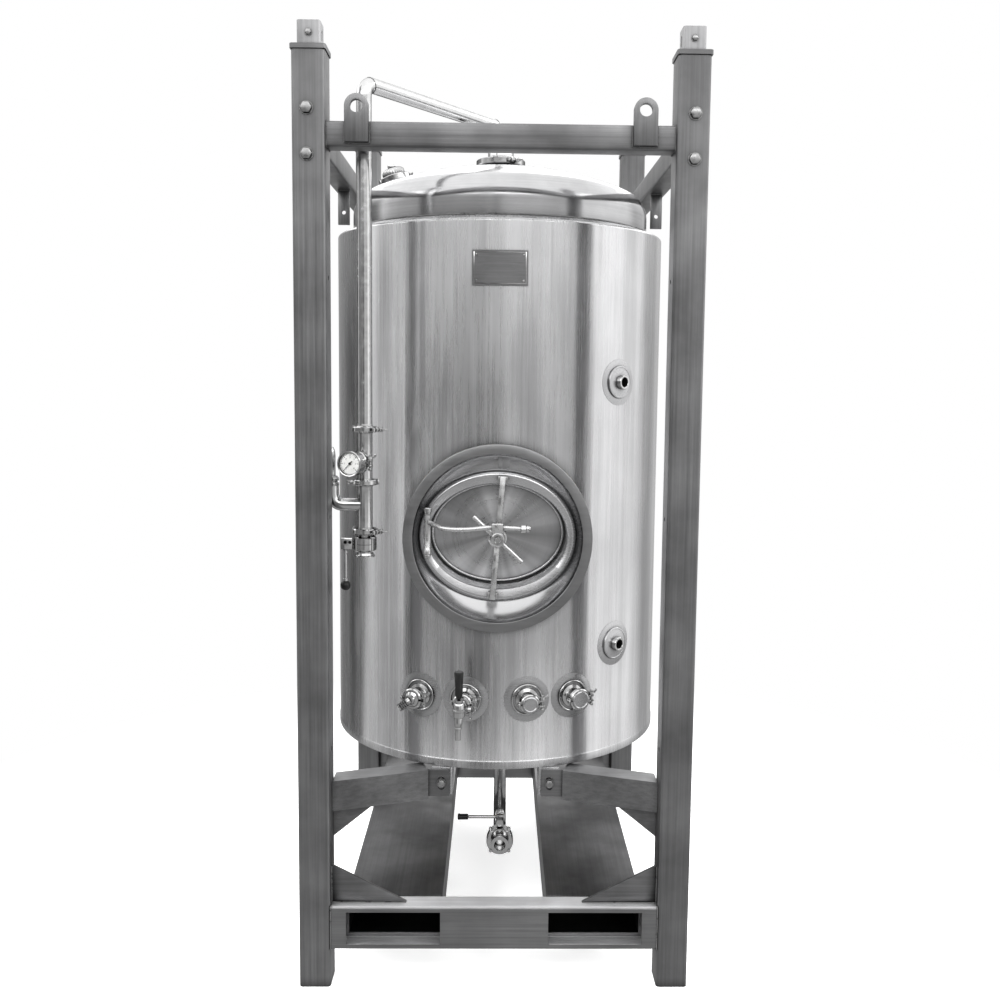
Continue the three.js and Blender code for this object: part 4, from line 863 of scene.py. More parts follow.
def make_heads():
    outline = head_meridian(0) + [(VESSEL_RADIUS, HEAD_SEAM), (VESSEL_RADIUS - VESSEL_WALL, HEAD_SEAM)]
    outline += head_meridian(VESSEL_WALL)[::-1]
    cup = lathe([(30, -5), (35, -1), (37, 3), (45, 8), (54, 12), (60, 15), (60, 20), (42, 20), (42, 10)],
                96, CROWN_TOP)
    stub = lathe([(24, -4), (30, -4), (30, 8), (36, 11), (36, 14), (24, 14)], 48)
    parts = made_of("dome", lathe(outline, FINE)) + made_of("fitting", cup, placed(stub, on_dome(0)))
    piece("dome", parts, ["vessel_top_head"])
    steps = 16
    outside = []
    inside = []
    for i in range(steps + 1):
        share = i / steps
        z = BOTTOM_TANGENT - BOTTOM_DISH * math.sqrt(1 - share ** 2.4)
        at_rim = i == steps
        outside.append((VESSEL_RADIUS * share, z - (3 if at_rim else 0)))
        inside.append(((VESSEL_RADIUS - VESSEL_WALL) * share, z + (0 if at_rim else VESSEL_WALL)))
    dish = lathe(outside + inside[::-1], 128)
    piece("bottom_dish", made_of("dome", dish), ["vessel_bottom_head"])


BRACKET = {"left": -170, "right": -122, "front": -470, "thickness": 8, "bottom": 458}
BRACKET_BOLT = (-144, -470, 492)


def make_base_ring():
    edge = JACKET_RADIUS - 2.6
    ring = lathe([(300, 1), (edge, 1), (edge, 7), (300, 7)], 128, JACKET_BOTTOM)
    left, right = BRACKET["left"], BRACKET["right"]
    back = BRACKET["front"] + BRACKET["thickness"] + GAP
    top = JACKET_BOTTOM - GAP
    bottom = BRACKET["bottom"]
    foot = made_of("shoulder", block((left, back, bottom), (right, back + 8, top)),
                   block((right - 1, back, bottom), (right + 7, back + 70, top)),
                   block((right - 1, back + 18, bottom + 42), (right + 7, back + 70, JACKET_BOTTOM + 2)))
    foot += bolt(BRACKET_BOLT, 34, 10.4)
    parts = made_of("shoulder", ring)
    for side, end in CORNERS.values():
        parts += moved(foot, mirror(-side, -end))
    piece("jacket_floor", parts, ["jacket_base_ring"])


def bent_plate(half_width, z0, z1, lift, thickness, steps=24):
    """A plate on the jacket's front, bent round the tank."""
    reach = half_width / JACKET_RADIUS
    low, high = JACKET_RADIUS + lift, JACKET_RADIUS + lift + thickness
    angles = [-math.pi / 2 - reach + 2 * reach * i / steps for i in range(steps + 1)]
    return loft([[turned(angle, r, z) for r, z in ((low, z0), (high, z0 + 0.3), (high, z1 - 0.3), (low, z1))]
                 for angle in angles])


def make_nameplate():
    low, high = node_box("nameplate")
    half, z0, z1 = high.x, low.z, high.z
    middle, border, margin = (z0 + z1) / 2, 2.5, 4
    parts = made_of("plate", bent_plate(half, z0, z1, 0.5, 1.6))
    for z in (z0 + margin, z1 - margin - border):
        parts += made_of("fitting", bent_plate(half - margin, z, z + border, 2.0, 0.7))
    upright = block((-border / 2, z0 - middle + margin, 2.0), (border / 2, z1 - middle - margin, 2.7), 0.2)
    rivet = lathe([(0, 1.5), (3.2, 1.5), (3.2, 2.4), (2.2, 3.6), (0, 4.0)], 24)
    for side in BOTH:
        edge_azimuth = math.degrees((half - 5) / JACKET_RADIUS) * side
        rivet_azimuth = math.degrees((half - 11) / JACKET_RADIUS) * side
        parts += made_of("fitting", placed(upright, on_tank(edge_azimuth, JACKET_RADIUS, middle)))
        for z in (z0 + 12, z1 - 12):
            parts += made_of("fitting", placed(rivet, on_tank(rivet_azimuth, JACKET_RADIUS, z)))
    piece("blank_nameplate", parts, ["nameplate"])


# ---------------------------------------------------------------- manway
COLLAR_RADIUS = 246
COLLAR_FACE_Y = -491
BAND = 25
NECK_A = 183
NECK_B = 139
NECK_FACE_Y = -447
NECK_SEAT_Y = -368
FLARE_A = 24
FLARE_B = 33
HINGE_X = -182
HINGE_Y = -472
EAR_Z = (1100, 1212)
HANDLE_FRONT = -503
HANDLE_ANGLE = math.radians(-43)
YOKE_FRONT = -479
YOKE_BACK = -465
YOKE_LEAN = math.radians(4.5)
DOOR_FACE_Y = NECK_SEAT_Y + 6.6
DAVIT_ROD_Y = HANDLE_FRONT - 20
MANWAY_STEPS = 144


def oval(a, b, y):
    """Points of an upright oval round the manway's centre line."""
    angles = [math.tau * i / MANWAY_STEPS for i in range(MANWAY_STEPS)]
    return [Vector((a * math.cos(angle), y, MANWAY_Z + b * math.sin(angle))) for angle in angles]


def oval_ring(outline):
    """A ring round the manway from a closed outline of (half width, half height, y) points."""
    rows = [oval(*point) for point in outline]
    return loft(list(zip(*rows)), closed=True)


def rim(a, b, y, outline):
    """An outline of (outwards, backwards) points, set on an oval."""
    return [(a + out, b + out, y + deep) for out, deep in outline]


def band_outline():
    """The flat ring round the recess, with a short edge that meets the jacket."""
    return rim(COLLAR_RADIUS, COLLAR_RADIUS, COLLAR_FACE_Y, [
        (0, 61), (0, 2), (-0.6, 0.6), (-2, 0), (1 - BAND, 1.2), (-BAND, 2), (-BAND, 6), (-3, 6), (-3, 61)])


def cone_outline(steps=14):
    """The recess that narrows from the ring to just behind the neck's lip."""
    outer = COLLAR_RADIUS - BAND
    narrower_a, narrower_b = NECK_A + FLARE_A - 1 - outer, NECK_B + FLARE_B - 1 - outer
    start, depth = COLLAR_FACE_Y + 3, NECK_FACE_Y + 9 - COLLAR_FACE_Y
    shares = [i / steps for i in range(steps + 1)]
    front = [(outer + narrower_a * share, outer + narrower_b * share, start + depth * share ** 0.5)
             for share in shares]
    return front + [(a, b, y + 3) for a, b, y in reversed(front)]


def neck_outline(lip=10):
    """A throat whose front is rolled outwards into a wide round lip."""
    depth = NECK_SEAT_Y - NECK_FACE_Y
    throat = rim(NECK_A, NECK_B, NECK_FACE_Y, [(0, depth), (0, 12), (0.8, 8), (3, 5)])
    roll = rim(NECK_A + FLARE_A - lip, NECK_B + FLARE_B - lip, NECK_FACE_Y,
               arc(0, lip, lip, -102, 10, 10) + [(lip - 1, 20)])
    return throat + roll + rim(NECK_A, NECK_B, NECK_FACE_Y, [(7, 22), (7, depth)])


def make_neck():
    pin = rod((HINGE_X, HINGE_Y, EAR_Z[0] - 4), (HINGE_X, HINGE_Y, EAR_Z[1] + 10), 4)
    cap = lathe([(0, 0), (10, 0), (11, 1), (11, 9), (9.5, 11), (0, 11.5)], 36)
    ears = [block((HINGE_X - 7, HINGE_Y - 8, z), (HINGE_X + 7, NECK_FACE_Y + 6, z + 8), 1.2) for z in EAR_Z]
    parts = made_of("lip", oval_ring(neck_outline()))
    parts += made_of("fitting", *ears, pin, placed(cap, at(HINGE_X, HINGE_Y, EAR_Z[1] + 8)))
    piece("manway_neck_ring", parts, ["manway_neck"])


def threaded_spindle(pitch=3.0):
    length = DOOR_FACE_Y - HANDLE_FRONT + 12
    thread = [(0, 0)]
    for i in range(math.ceil(length / pitch) - 1):
        thread += [(7.1, pitch * i), (8.0, pitch * (i + 0.5))]
    thread += [(6.2, length), (0, length)]
    return placed(lathe(thread, 40), at(0, DOOR_FACE_Y, MANWAY_Z, "front"))


def make_door(rings=14, dish=9, thickness=6, bead=4):
    """The dished door with a half-round bead just inside the throat, its boss, spindle and gasket."""
    shares = [i / rings for i in range(1, rings + 1)]
    rows = [(share, DOOR_FACE_Y - dish * (1 - share ** 2) ** 2) for share in shares]
    rows += [(share, DOOR_FACE_Y + thickness) for share in reversed(shares)]
    plate = loft([oval((NECK_A + 15) * share, (NECK_B + 15) * share, y) for share, y in rows])
    inset = 3 + bead
    half_round = arc(0, 0, bead, 0, -360, 14)[:-1]
    ring = oval_ring(rim(NECK_A - inset, NECK_B - inset, DOOR_FACE_Y + 1 - bead, half_round))
    boss = placed(lathe([(0, -12), (26, -12), (26, 2), (23, 5), (17, 9), (14, 14), (12, 16), (0, 16)], 64),
                  at(0, DOOR_FACE_Y - 4, MANWAY_Z, "front"))
    parts = made_of("door", plate) + made_of("lip", ring) + made_of("fitting", boss, threaded_spindle())
    piece("manway_door_plate", parts, ["manway_door"], "manway_door")
    seal = oval_ring(rim(NECK_A, NECK_B, NECK_SEAT_Y, [(-1, 1), (0, 0.3), (11, 0.3), (12, 1.2), (12, 5.4),
                                                       (11, 6.3), (0, 6.3), (-1, 5.5)]))
    piece("manway_seal", made_of("rubber", seal), ["manway_gasket"], "manway_door")


def make_yoke():
    reach = NECK_B + 24
    half = 7.5
    bar = [placed(lathe([(9, 0), (21, 0), (24, 3), (24, 11), (20, 15), (9, 15)], 64),
                  at(0, YOKE_BACK, MANWAY_Z, "front"))]
    for side in BOTH:
        low, high = sorted((MANWAY_Z + side * 16, MANWAY_Z + side * reach))
        foot_z = MANWAY_Z + side * (reach - 9)
        bar.append(block((-half, YOKE_FRONT, low), (half, YOKE_BACK, high), 2.5))
        bar.append(block((-half - 5, YOKE_BACK - 2, foot_z - 8),
                         (half + 5, NECK_FACE_Y - GAP, foot_z + 8), 2))
    lean = at(0, 0, MANWAY_Z) @ Matrix.Rotation(YOKE_LEAN, 4, "Y") @ at(0, 0, -MANWAY_Z)
    fitting("manway_yoke_bar", "manway_yoke", [placed(part, lean) for part in bar], material="satin")


def make_t_handle():
    y = (HANDLE_FRONT + YOKE_FRONT) / 2
    outline = [(8.3, 0), (15, 0), (18, 2), (18, 7), (16, 9), (16, 15), (18, 17), (18, 21), (15, 23.7),
               (8.3, 23.7)]
    parts = [placed(lathe(outline, 64), at(0, YOKE_FRONT - GAP, MANWAY_Z, "front"))]
    across, up = math.cos(HANDLE_ANGLE), math.sin(HANDLE_ANGLE)
    for side in BOTH:
        ends = [(side * far * across, y, MANWAY_Z + side * far * up) for far in (14, 88)]
        parts.append(rod(*ends, 6.5, 28, 3))
    fitting("manway_t_handle", "manway_handle", parts, "manway_handle", "satin")


def make_davit():
    sleeve = lathe([(4.6, 1109), (9.2, 1109), (10, 1110), (10, 1122), (8.8, 1124), (8.8, 1196), (10, 1198),
                    (10, 1210), (9.2, 1211), (4.6, 1211)], 40)
    end_y = DAVIT_ROD_Y + 5
    path = route([(HINGE_X + 4, HINGE_Y - 6, 1193), (-140, DAVIT_ROD_Y, 1182), (-76, DAVIT_ROD_Y, 1181),
                  (-14, DAVIT_ROD_Y, 1189), (62, end_y, 1184)], 26)
    head = block((-16, DAVIT_ROD_Y - 10, 1174), (14, DAVIT_ROD_Y + 10, 1199), 2)
    nut = placed(prism(hexagon(11), 0, 12, 1), at(60, end_y, 1184, "x"))
    knob = placed(lathe([(0, 0), (8, 0), (10, 3), (10, 9), (7, 13), (0, 14)], 32), at(71, end_y, 1184, "x"))
    parts = [placed(sleeve, at(HINGE_X, HINGE_Y, 0)), sweep(path, 6.2, 24), head, nut, knob]
    fitting("manway_davit_arm", "manway_davit", parts, material="satin")


def make_manway():
    recess = made_of("band", oval_ring(band_outline())) + made_of("cone", oval_ring(cone_outline()))
    piece("manway_collar_cone", recess, ["manway_collar"])
    make_neck()
    make_door()
    make_yoke()
    make_t_handle()
    make_davit()


# ---------------------------------------------------------------- clamps and ports
def wing_nut():
    """A wing nut about local Z, standing on z = 0."""
    wing = [(3, 1), (10, 2.5), (17, 8), (17.5, 12), (14, 13.5), (9, 9), (4, 7)]
    parts = [lathe([(0, 0), (6.5, 0), (7, 1), (6, 7), (0, 8)], 24)]
    for side in BOTH:
        parts.append(placed(prism([(side * x, y) for x, y in wing], -1.6, 1.6, 0.7), ALONG["front"]))
    return parts


def clamp(inner, outer, height, place):
    """A hinged hygienic clamp about a place's Z, with its hinge towards -X and its bolt towards +X."""
    half = height / 2
    section = [(inner, -half * 0.55), (inner + 1.5, -half), (outer - 2.5, -half), (outer, -half + 2.5),
               (outer, half - 2.5), (outer - 2.5, half), (inner + 1.5, half), (inner, half * 0.55)]
    parts = [arc_band(section, 7, 176), arc_band(section, 184, 353)]
    for y in (-9.5, 4.5):
        parts.append(block((outer - 3, y, -half + 1.5), (outer + 13, y + 5, half - 1.5), 1.2))
    parts.append(rod((-outer - 3, 0, -half - 1), (-outer - 3, 0, half + 1), 3.4))
    parts.append(block((-outer - 5, -7, -half + 2), (-outer + 2, 7, half - 2), 1.4))
    bolt_x = outer + 7
    parts.append(rod((bolt_x, -15, 0), (bolt_x, 22, 0), 3.2))
    parts.append(rod((bolt_x, -16, -5), (bolt_x, -16, 5), 4))
    parts += [placed(part, at(bolt_x, 10, 0, "y")) for part in wing_nut()]
    return [placed(part, place) for part in parts]


PORT_HEIGHT = 722
PORT_AZIMUTHS = (-25.2, -9.8, 9.8, 25.2)
PORT_CLAMP = 42
SENSOR_AZIMUTH = 42.5
SENSOR_HEIGHTS = (845, 1559)
SOCKET_REACH = 22
TAP_REACH = 86
TAP_TOP = 24


def draped(radius, lift, sides=72):
    """A ring in local axes that follows the jacket under it."""
    ring = []
    for i in range(sides):
        x, y = radius * math.cos(math.tau * i / sides), radius * math.sin(math.tau * i / sides)
        drop = JACKET_RADIUS - math.sqrt(JACKET_RADIUS ** 2 - x * x)
        ring.append(Vector((x, y, lift - drop)))
    return ring


def rosette(radius=61, rise=2.2, steps=10):
    """A disc that follows the jacket under it, as a fine fan of rings."""
    lifts = {steps: 0.6, steps - 1: rise - 1}
    rings = [draped(radius * i / steps, lifts.get(i, rise)) for i in range(steps, 0, -1)]
    return loft([draped(radius, -0.5)] + rings)


def ferrule(reach):
    """The stub of a port with its raised ring and the flange that its clamp holds."""
    stub = [(0, -50), (19, -50), (19, 8), (22, 4), (30, 4), (22, 7), (19, 12), (19, reach - 10),
            (24, reach - 4), (24, reach), (0, reach)]
    return [torus(40, 5, 2.2, 72, 10), lathe(stub, 56)]


def port(name, node, azimuth, clamp_radius, front):
    parts = made_of("rosette", rosette()) + made_of("fitting", *ferrule(PORT_CLAMP))
    parts += made_of("fitting", *clamp(clamp_radius - 8, clamp_radius, 13, at(0, 0, PORT_CLAMP))) + front
    piece(name, moved(parts, on_tank(azimuth, JACKET_RADIUS, PORT_HEIGHT)), [node])


def blank_cap(radius):
    return made_of("rosette", lathe([(0, 0), (radius, 0), (radius, 6), (radius - 1.5, 9), (radius - 4, 10),
                                     (radius - 6, 8.4), (0, 8.4)], 64, PORT_CLAMP))


def hose_barb(ridges=5):
    """A short elbow that ends in a ribbed spigot for a hose, pointing down to the left."""
    start = Vector((0, 0, PORT_CLAMP + 16))
    end = Vector((-22, -20, PORT_CLAMP + 36))
    parts = [lathe([(0, 0), (20, 0), (20, 7), (13, 11), (11, 16), (0, 17)], 48, PORT_CLAMP),
             sweep([start, end], 8.2, 28)]
    for i in range(ridges):
        near = start.lerp(end, 0.25 + 0.75 * i / ridges)
        far = start.lerp(end, 0.25 + 0.75 * (i + 0.9) / ridges)
        parts.append(sweep([near, far], [12.0, 8.4], 28))
    return made_of("fitting", *parts)


def tap_parts():
    """The sampling tap: coupling nut, shank, barrel with its collar, and a two-part spout."""
    barrel = lathe([(0, -23), (12, -22.5), (15, -20), (15, -6), (16.5, -5), (16.5, -1), (15, 0), (15, 12),
                    (12.5, 16), (9.5, 17), (9.5, 23.6), (0, 23.6)], 48)
    spout_path = route([(0, -14, TAP_REACH), (0, -46, TAP_REACH + 10), (0, -78, TAP_REACH + 10)], 12)
    radii = [12 - 4.5 * min(i / 5, 1) for i in range(len(spout_path))]
    return made_of("fitting",
                   lathe([(0, 0), (21, 0), (21, 7), (13, 10), (0, 12)], 48, PORT_CLAMP),
                   prism(hexagon(16), PORT_CLAMP + 11, PORT_CLAMP + 22, 1.2),
                   rod((0, 0, PORT_CLAMP + 8), (0, 0, TAP_REACH), 11.6),
                   placed(barrel, at(0, 0, TAP_REACH, "y")),
                   sweep(spout_path, radii, 28),
                   rod((0, -44, TAP_REACH + 9.6), (0, -50, TAP_REACH + 10), 9.4))


def make_tap_levers():
    place = on_tank(PORT_AZIMUTHS[1], JACKET_RADIUS, PORT_HEIGHT)
    outline = [(0, 0.6), (4.4, 1.6), (7.4, 5), (8, 9), (9.6, 11), (10, 14), (10.2, 38), (12, 64), (12.3, 70),
               (10.5, 74), (0, 74)]
    grip = placed(lathe(outline, 40, TAP_TOP), place @ at(0, 0, TAP_REACH, "y"))
    piece("tap_grip", made_of("black_plastic", grip), ["tap_handle"], "tap_handle")
    z = TAP_REACH - 20
    lever = [rod((12.6, -6, z), (26, -6, z), 5), rod((20, -6, z), (29, -6, z), 7.5),
             block((23, -29, z - 4), (28, -4, z + 4), 1.8), rod((25.5, -30, z - 6), (25.5, -30, z + 6), 3.4)]
    fitting("tap_side_lever", "tap_flow_lever", [placed(part, place) for part in lever], "tap_flow_lever")


def make_sensor_pockets():
    reach = SOCKET_REACH
    socket = lathe([(13, -40), (19, -40), (19, reach - 2), (17.5, reach), (14, reach), (13, reach - 1)], 48)
    dished = lathe([(18, 0), (44, 0), (44, 5), (43, 6.5), (40, 7), (39, 6.2), (24, 7.5), (18, 8.5)], 72)
    # The near-black lining paints the shade inside the socket's bore.
    inside = lathe([(0, -38), (13.1, -38), (13.1, reach - 5), (12.4, reach - 5), (12.4, -30), (0, -30)], 40)
    parts = made_of("rosette", rosette(), dished) + made_of("fitting", socket) + made_of("painted_hole_shade", inside)
    for z, name in zip(SENSOR_HEIGHTS, ("lower", "upper")):
        place = on_tank(SENSOR_AZIMUTH, JACKET_RADIUS, z)
        piece("sensor_pocket_" + name, moved(parts, place), ["sensor_port_" + name])


def make_ports():
    port("hose_port", "port_hose", PORT_AZIMUTHS[0], 28, hose_barb())
    port("tap_port", "port_tap", PORT_AZIMUTHS[1], 26, tap_parts())
    port("blank_port_inner", "port_blank_inner", PORT_AZIMUTHS[2], 26, blank_cap(22))
    port("blank_port_outer", "port_blank_outer", PORT_AZIMUTHS[3], 29, blank_cap(25))
    make_tap_levers()
    make_sensor_pockets()


# ---------------------------------------------------------------- top fittings
COLUMN_X = -340
COLUMN_Y = -500
COLUMN = at(COLUMN_X, COLUMN_Y, 0)
CLAMPS_Z = (1434, 1299, 1173)
PIPE_RADIUS = 19
FLUTES = 28


def weld_ring(line, share):
    """A low weld ring round a pipe at a share of its path's points."""
    i = int(share * (len(line) - 1))
    along = (line[i + 1] - line[i]).normalized()
    across = along.orthogonal().normalized()
    return placed(torus(PIPE_RADIUS, 0, 1.2), basis(across, along.cross(across), along, line[i]))


def make_cleaning_line():
    foot = FERRULE_TOP + GAP
    base = lathe([(17, 0), (58, 0), (60, 1.5), (60, 5), (46, 8), (38, 11), (38, 34), (34, 42), (22, 50),
                  (17, 52)], 72, foot)
    line = route([(0, 0, foot + 46), (0, 0, 2300), (COLUMN_X, COLUMN_Y, 2288),
                  (COLUMN_X, COLUMN_Y, CLAMPS_Z[0] + 3)], 36, 14)
    flange = lathe([(0, 0.6), (25, 0.6), (25, 4), (20, 9), (19.1, 14), (0, 14)], 48, CLAMPS_Z[0])
    parts = made_of("pipe", base, sweep(line, PIPE_RADIUS, 40), placed(flange, COLUMN))
    parts += made_of("weld_steel", weld_ring(line, 0.5), weld_ring(line, 0.62))
    piece("cleaning_line", parts, ["cleaning_pipe"])


def make_top_fittings():
    make_cleaning_line()
    fitting("top_clamp_ring", "top_clamp", clamp(60.6, 72, 17, at(0, 0, FERRULE_TOP) @ turn_z(-62)))
    fitting("relief_clamp_ring", "relief_clamp", clamp(36.6, 45, 18, on_dome(20) @ turn_z(20)))
    seat = on_dome(14.3)
    body = lathe([(0, 10), (5.4, 10), (5.4, 38), (14, 38), (26, 36.5), (31, 33), (33, 29), (33, 14), (36, 11),
                  (36, 0), (0, 0)], 72)
    flute = rod((32.6, 0, 15), (31.6, 0, 31), 2.0, 12)
    flutes = [placed(flute, seat @ turn_z(360 * i / FLUTES)) for i in range(FLUTES)]
    fitting("relief_valve_body", "relief_valve", [placed(body, seat)] + flutes, material="relief")
    knob = lathe([(0, 14), (4.8, 14), (4.8, 40), (10, 40), (12, 42), (12, 47), (10.5, 50), (5, 51.5),
                  (0, 52)], 48)
    fitting("relief_pull_knob", "relief_knob", [placed(knob, seat)], "relief_knob", "pipe")


# ---------------------------------------------------------------- column
GAUGE_AZIMUTH = -20
GAUGE_Z = 1352
GAUGE_RADIUS = 32.5
GAUGE_BACK = 56
GAUGE_FACE = 88
GAUGE_PLACE = COLUMN @ on_tank(GAUGE_AZIMUTH, 0, GAUGE_Z)
DIAL_Z = GAUGE_FACE - 7.9
MARK_Z = DIAL_Z + 0.25
DIAL_START = 225
DIAL_SWEEP = 270
DIAL_NUMBERS = 6
TICKS = 24
LINE_X = -424
ELBOW_Z = 1241
VALVE_TOP = 1157
VALVE_BOTTOM = 1124
OUTLET_END = 1107
STEM_Z = (VALVE_TOP + VALVE_BOTTOM) / 2
LEVER_X = COLUMN_X - 51
BORE = 17
DISC_RADIUS = 16.2
BALL_RADIUS = 13.4
BALL_Z = 1031


def pipe_run(z0, z1):
    """A run of the column between two clamped flanges."""
    flare = 24.5
    outline = [(BORE, z0), (flare, z0), (flare, z0 + 2.5), (20.5, z0 + 6), (PIPE_RADIUS, z0 + 11),
               (PIPE_RADIUS, z1 - 11), (20.5, z1 - 6), (flare, z1 - 2.5), (flare, z1), (BORE, z1)]
    return placed(lathe(outline, 64), COLUMN)


def make_dial():
    """The gauge's white dial with its ring of marks."""
    parts = made_of("dial_white", disc(28.2, DIAL_Z, DIAL_Z + 0.3, 72))
    for i in range(TICKS + 1):
        inner, width = (20.0, 0.8) if i % 4 == 0 else (22.6, 0.45)
        tick = block((inner, -width, MARK_Z), (26, width, MARK_Z + 0.25), 0)
        parts += made_of("dial_black", placed(tick, turn_z(DIAL_START - DIAL_SWEEP * i / TICKS)))
    return parts + made_of("dial_black", lathe([(26, 0), (26.6, 0), (26.6, 0.25), (26, 0.25)], 72, MARK_Z))


def make_number(text, place, size=6.4, half=0.12):
    """One number of the dial, as a thin mesh."""
    curve = bpy.data.curves.new("number", "FONT")
    curve.body = text
    curve.size = size
    curve.extrude = half
    curve.align_x = "CENTER"
    curve.align_y = "CENTER"
    holder = new_object("number", curve)
    bpy.context.view_layer.update()
    source = holder.to_mesh()
    points = [place @ (vert.co + Vector((0, 0, half))) for vert in source.vertices]
    faces = [list(face.vertices) for face in source.polygons]
    holder.to_mesh_clear()
    bpy.data.objects.remove(holder)
    piece("gauge_number_" + text, made_of("dial_black", (points, faces)))


def make_gauge():
    socket = lathe([(0, 38), (14, 38), (14, 52), (11, 54), (11, GAUGE_BACK + 1), (0, GAUGE_BACK + 1)], 40)
    wide, inside = GAUGE_RADIUS - 1, GAUGE_RADIUS - 4
    case = [(0, GAUGE_BACK), (inside, GAUGE_BACK), (wide, GAUGE_BACK + 2), (wide, GAUGE_FACE - 9),
            (GAUGE_RADIUS, GAUGE_FACE - 8), (GAUGE_RADIUS, GAUGE_FACE - 1.5),
            (GAUGE_RADIUS - 1.5, GAUGE_FACE), (GAUGE_RADIUS - 3.5, GAUGE_FACE - 0.8),
            (inside, GAUGE_FACE - 3), (inside, GAUGE_FACE - 8), (0, GAUGE_FACE - 8)]
    parts = made_of("fitting", socket, lathe(case)) + make_dial()
    piece("gauge_case", moved(parts, GAUGE_PLACE), ["gauge_body"])
    for i in range(DIAL_NUMBERS + 1):
        spot = turned(math.radians(DIAL_START - DIAL_SWEEP * i / DIAL_NUMBERS), 15.5, MARK_Z)
        make_number(str(i), GAUGE_PLACE @ at(*spot))
    cover = lathe([(0, -2.4), (28.4, -2.4), (28.4, -1.8), (0, -1.4)], 72, GAUGE_FACE)
    piece("gauge_window", moved(made_of("gauge_glass", cover), GAUGE_PLACE))
    needle_z = GAUGE_FACE - 6
    pointer = prism([(-9, -1.5), (-3, -0.9), (23, -0.35), (23, 0.35), (-3, 0.9), (-9, 1.5)],
                    needle_z, needle_z + 0.8, 0.15)
    hub = lathe([(0, -7.4), (3.2, -7.4), (3.4, -4.6), (2, -3.9), (0, -3.8)], 32, GAUGE_FACE)
    needle = made_of("dial_black", placed(pointer, turn_z(-135)), hub)
    piece("gauge_pointer", moved(needle, GAUGE_PLACE), ["gauge_needle"], "gauge_needle")


def make_tees():
    """The column's tees. The gauge is clamped to the upper one, and a branch leaves the lower one."""
    neck = lathe([(0, 10), (19, 10), (19, 30), (20.5, 34), (24.5, 38), (24.5, 41), (0, 41)], 48)
    tee = [pipe_run(CLAMPS_Z[1] + GAP, CLAMPS_Z[0] - GAP), placed(neck, GAUGE_PLACE),
           placed(disc(20, 41, 50, 40), GAUGE_PLACE)]
    tee += clamp(20, 30, 13, GAUGE_PLACE @ at(0, 0, 44))
    fitting("gauge_tee_run", "gauge_tee", tee)
    make_gauge()
    elbow = route([(COLUMN_X - 10, COLUMN_Y, ELBOW_Z), (LINE_X, COLUMN_Y, ELBOW_Z),
                   (LINE_X, COLUMN_Y, 1290)], 32, 14)
    tip = [(1312, 9), (1366, 9), (1380, 7.4), (1388, 3.5)]
    branch = [pipe_run(CLAMPS_Z[2] + GAP, CLAMPS_Z[1] - GAP), sweep(elbow, 17, 40),
              rod((LINE_X, COLUMN_Y, 1284), (LINE_X, COLUMN_Y, 1314), 14),
              sweep([(LINE_X, COLUMN_Y, z) for z, _ in tip], [radius for _, radius in tip], 28)]
    branch += [placed(prism(hexagon(18.2), z, z + 9, 1.4), at(LINE_X, COLUMN_Y, 0)) for z in (1289, 1302)]
    fitting("branch_line", "branch_tee", branch)


def valve_body(radius, top, bottom):
    """A two-part butterfly valve body about local Z, with its bolts."""
    middle = (top + bottom) / 2
    parts = [lathe([(BORE, -0.8), (radius - 1.6, -0.8), (radius - 1.6, 0.8), (BORE, 0.8)], 72, middle)]
    for face, step in ((bottom, 1), (top, -1)):
        parts.append(lathe([(BORE, face), (radius - 2, face), (radius, face + 2 * step),
                            (radius, middle - 0.6 * step), (BORE, middle - 0.6 * step)], 72))
    for i in range(4):
        x, y, _ = turned(math.radians(45 + 90 * i), radius - 1, 0)
        parts.append(rod((x, y, bottom - 2), (x, y, top + 2), 3.6))
        parts.append(rod((x, y, top - 1), (x, y, top + 3), 5.4, 6, 0.4))
        parts.append(rod((x, y, bottom - 3), (x, y, bottom + 1), 5.4, 6, 0.4))
    return parts


def flange_end(near, far, radius):
    """A short pipe from near that ends in a flange at far, about local Z."""
    step = 1 if far > near else -1
    return lathe([(BORE, near), (20, near), (20, far - step * 9), (radius - 2, far - step * 4),
                  (radius, far - step * 3), (radius, far), (BORE, far)], 56)


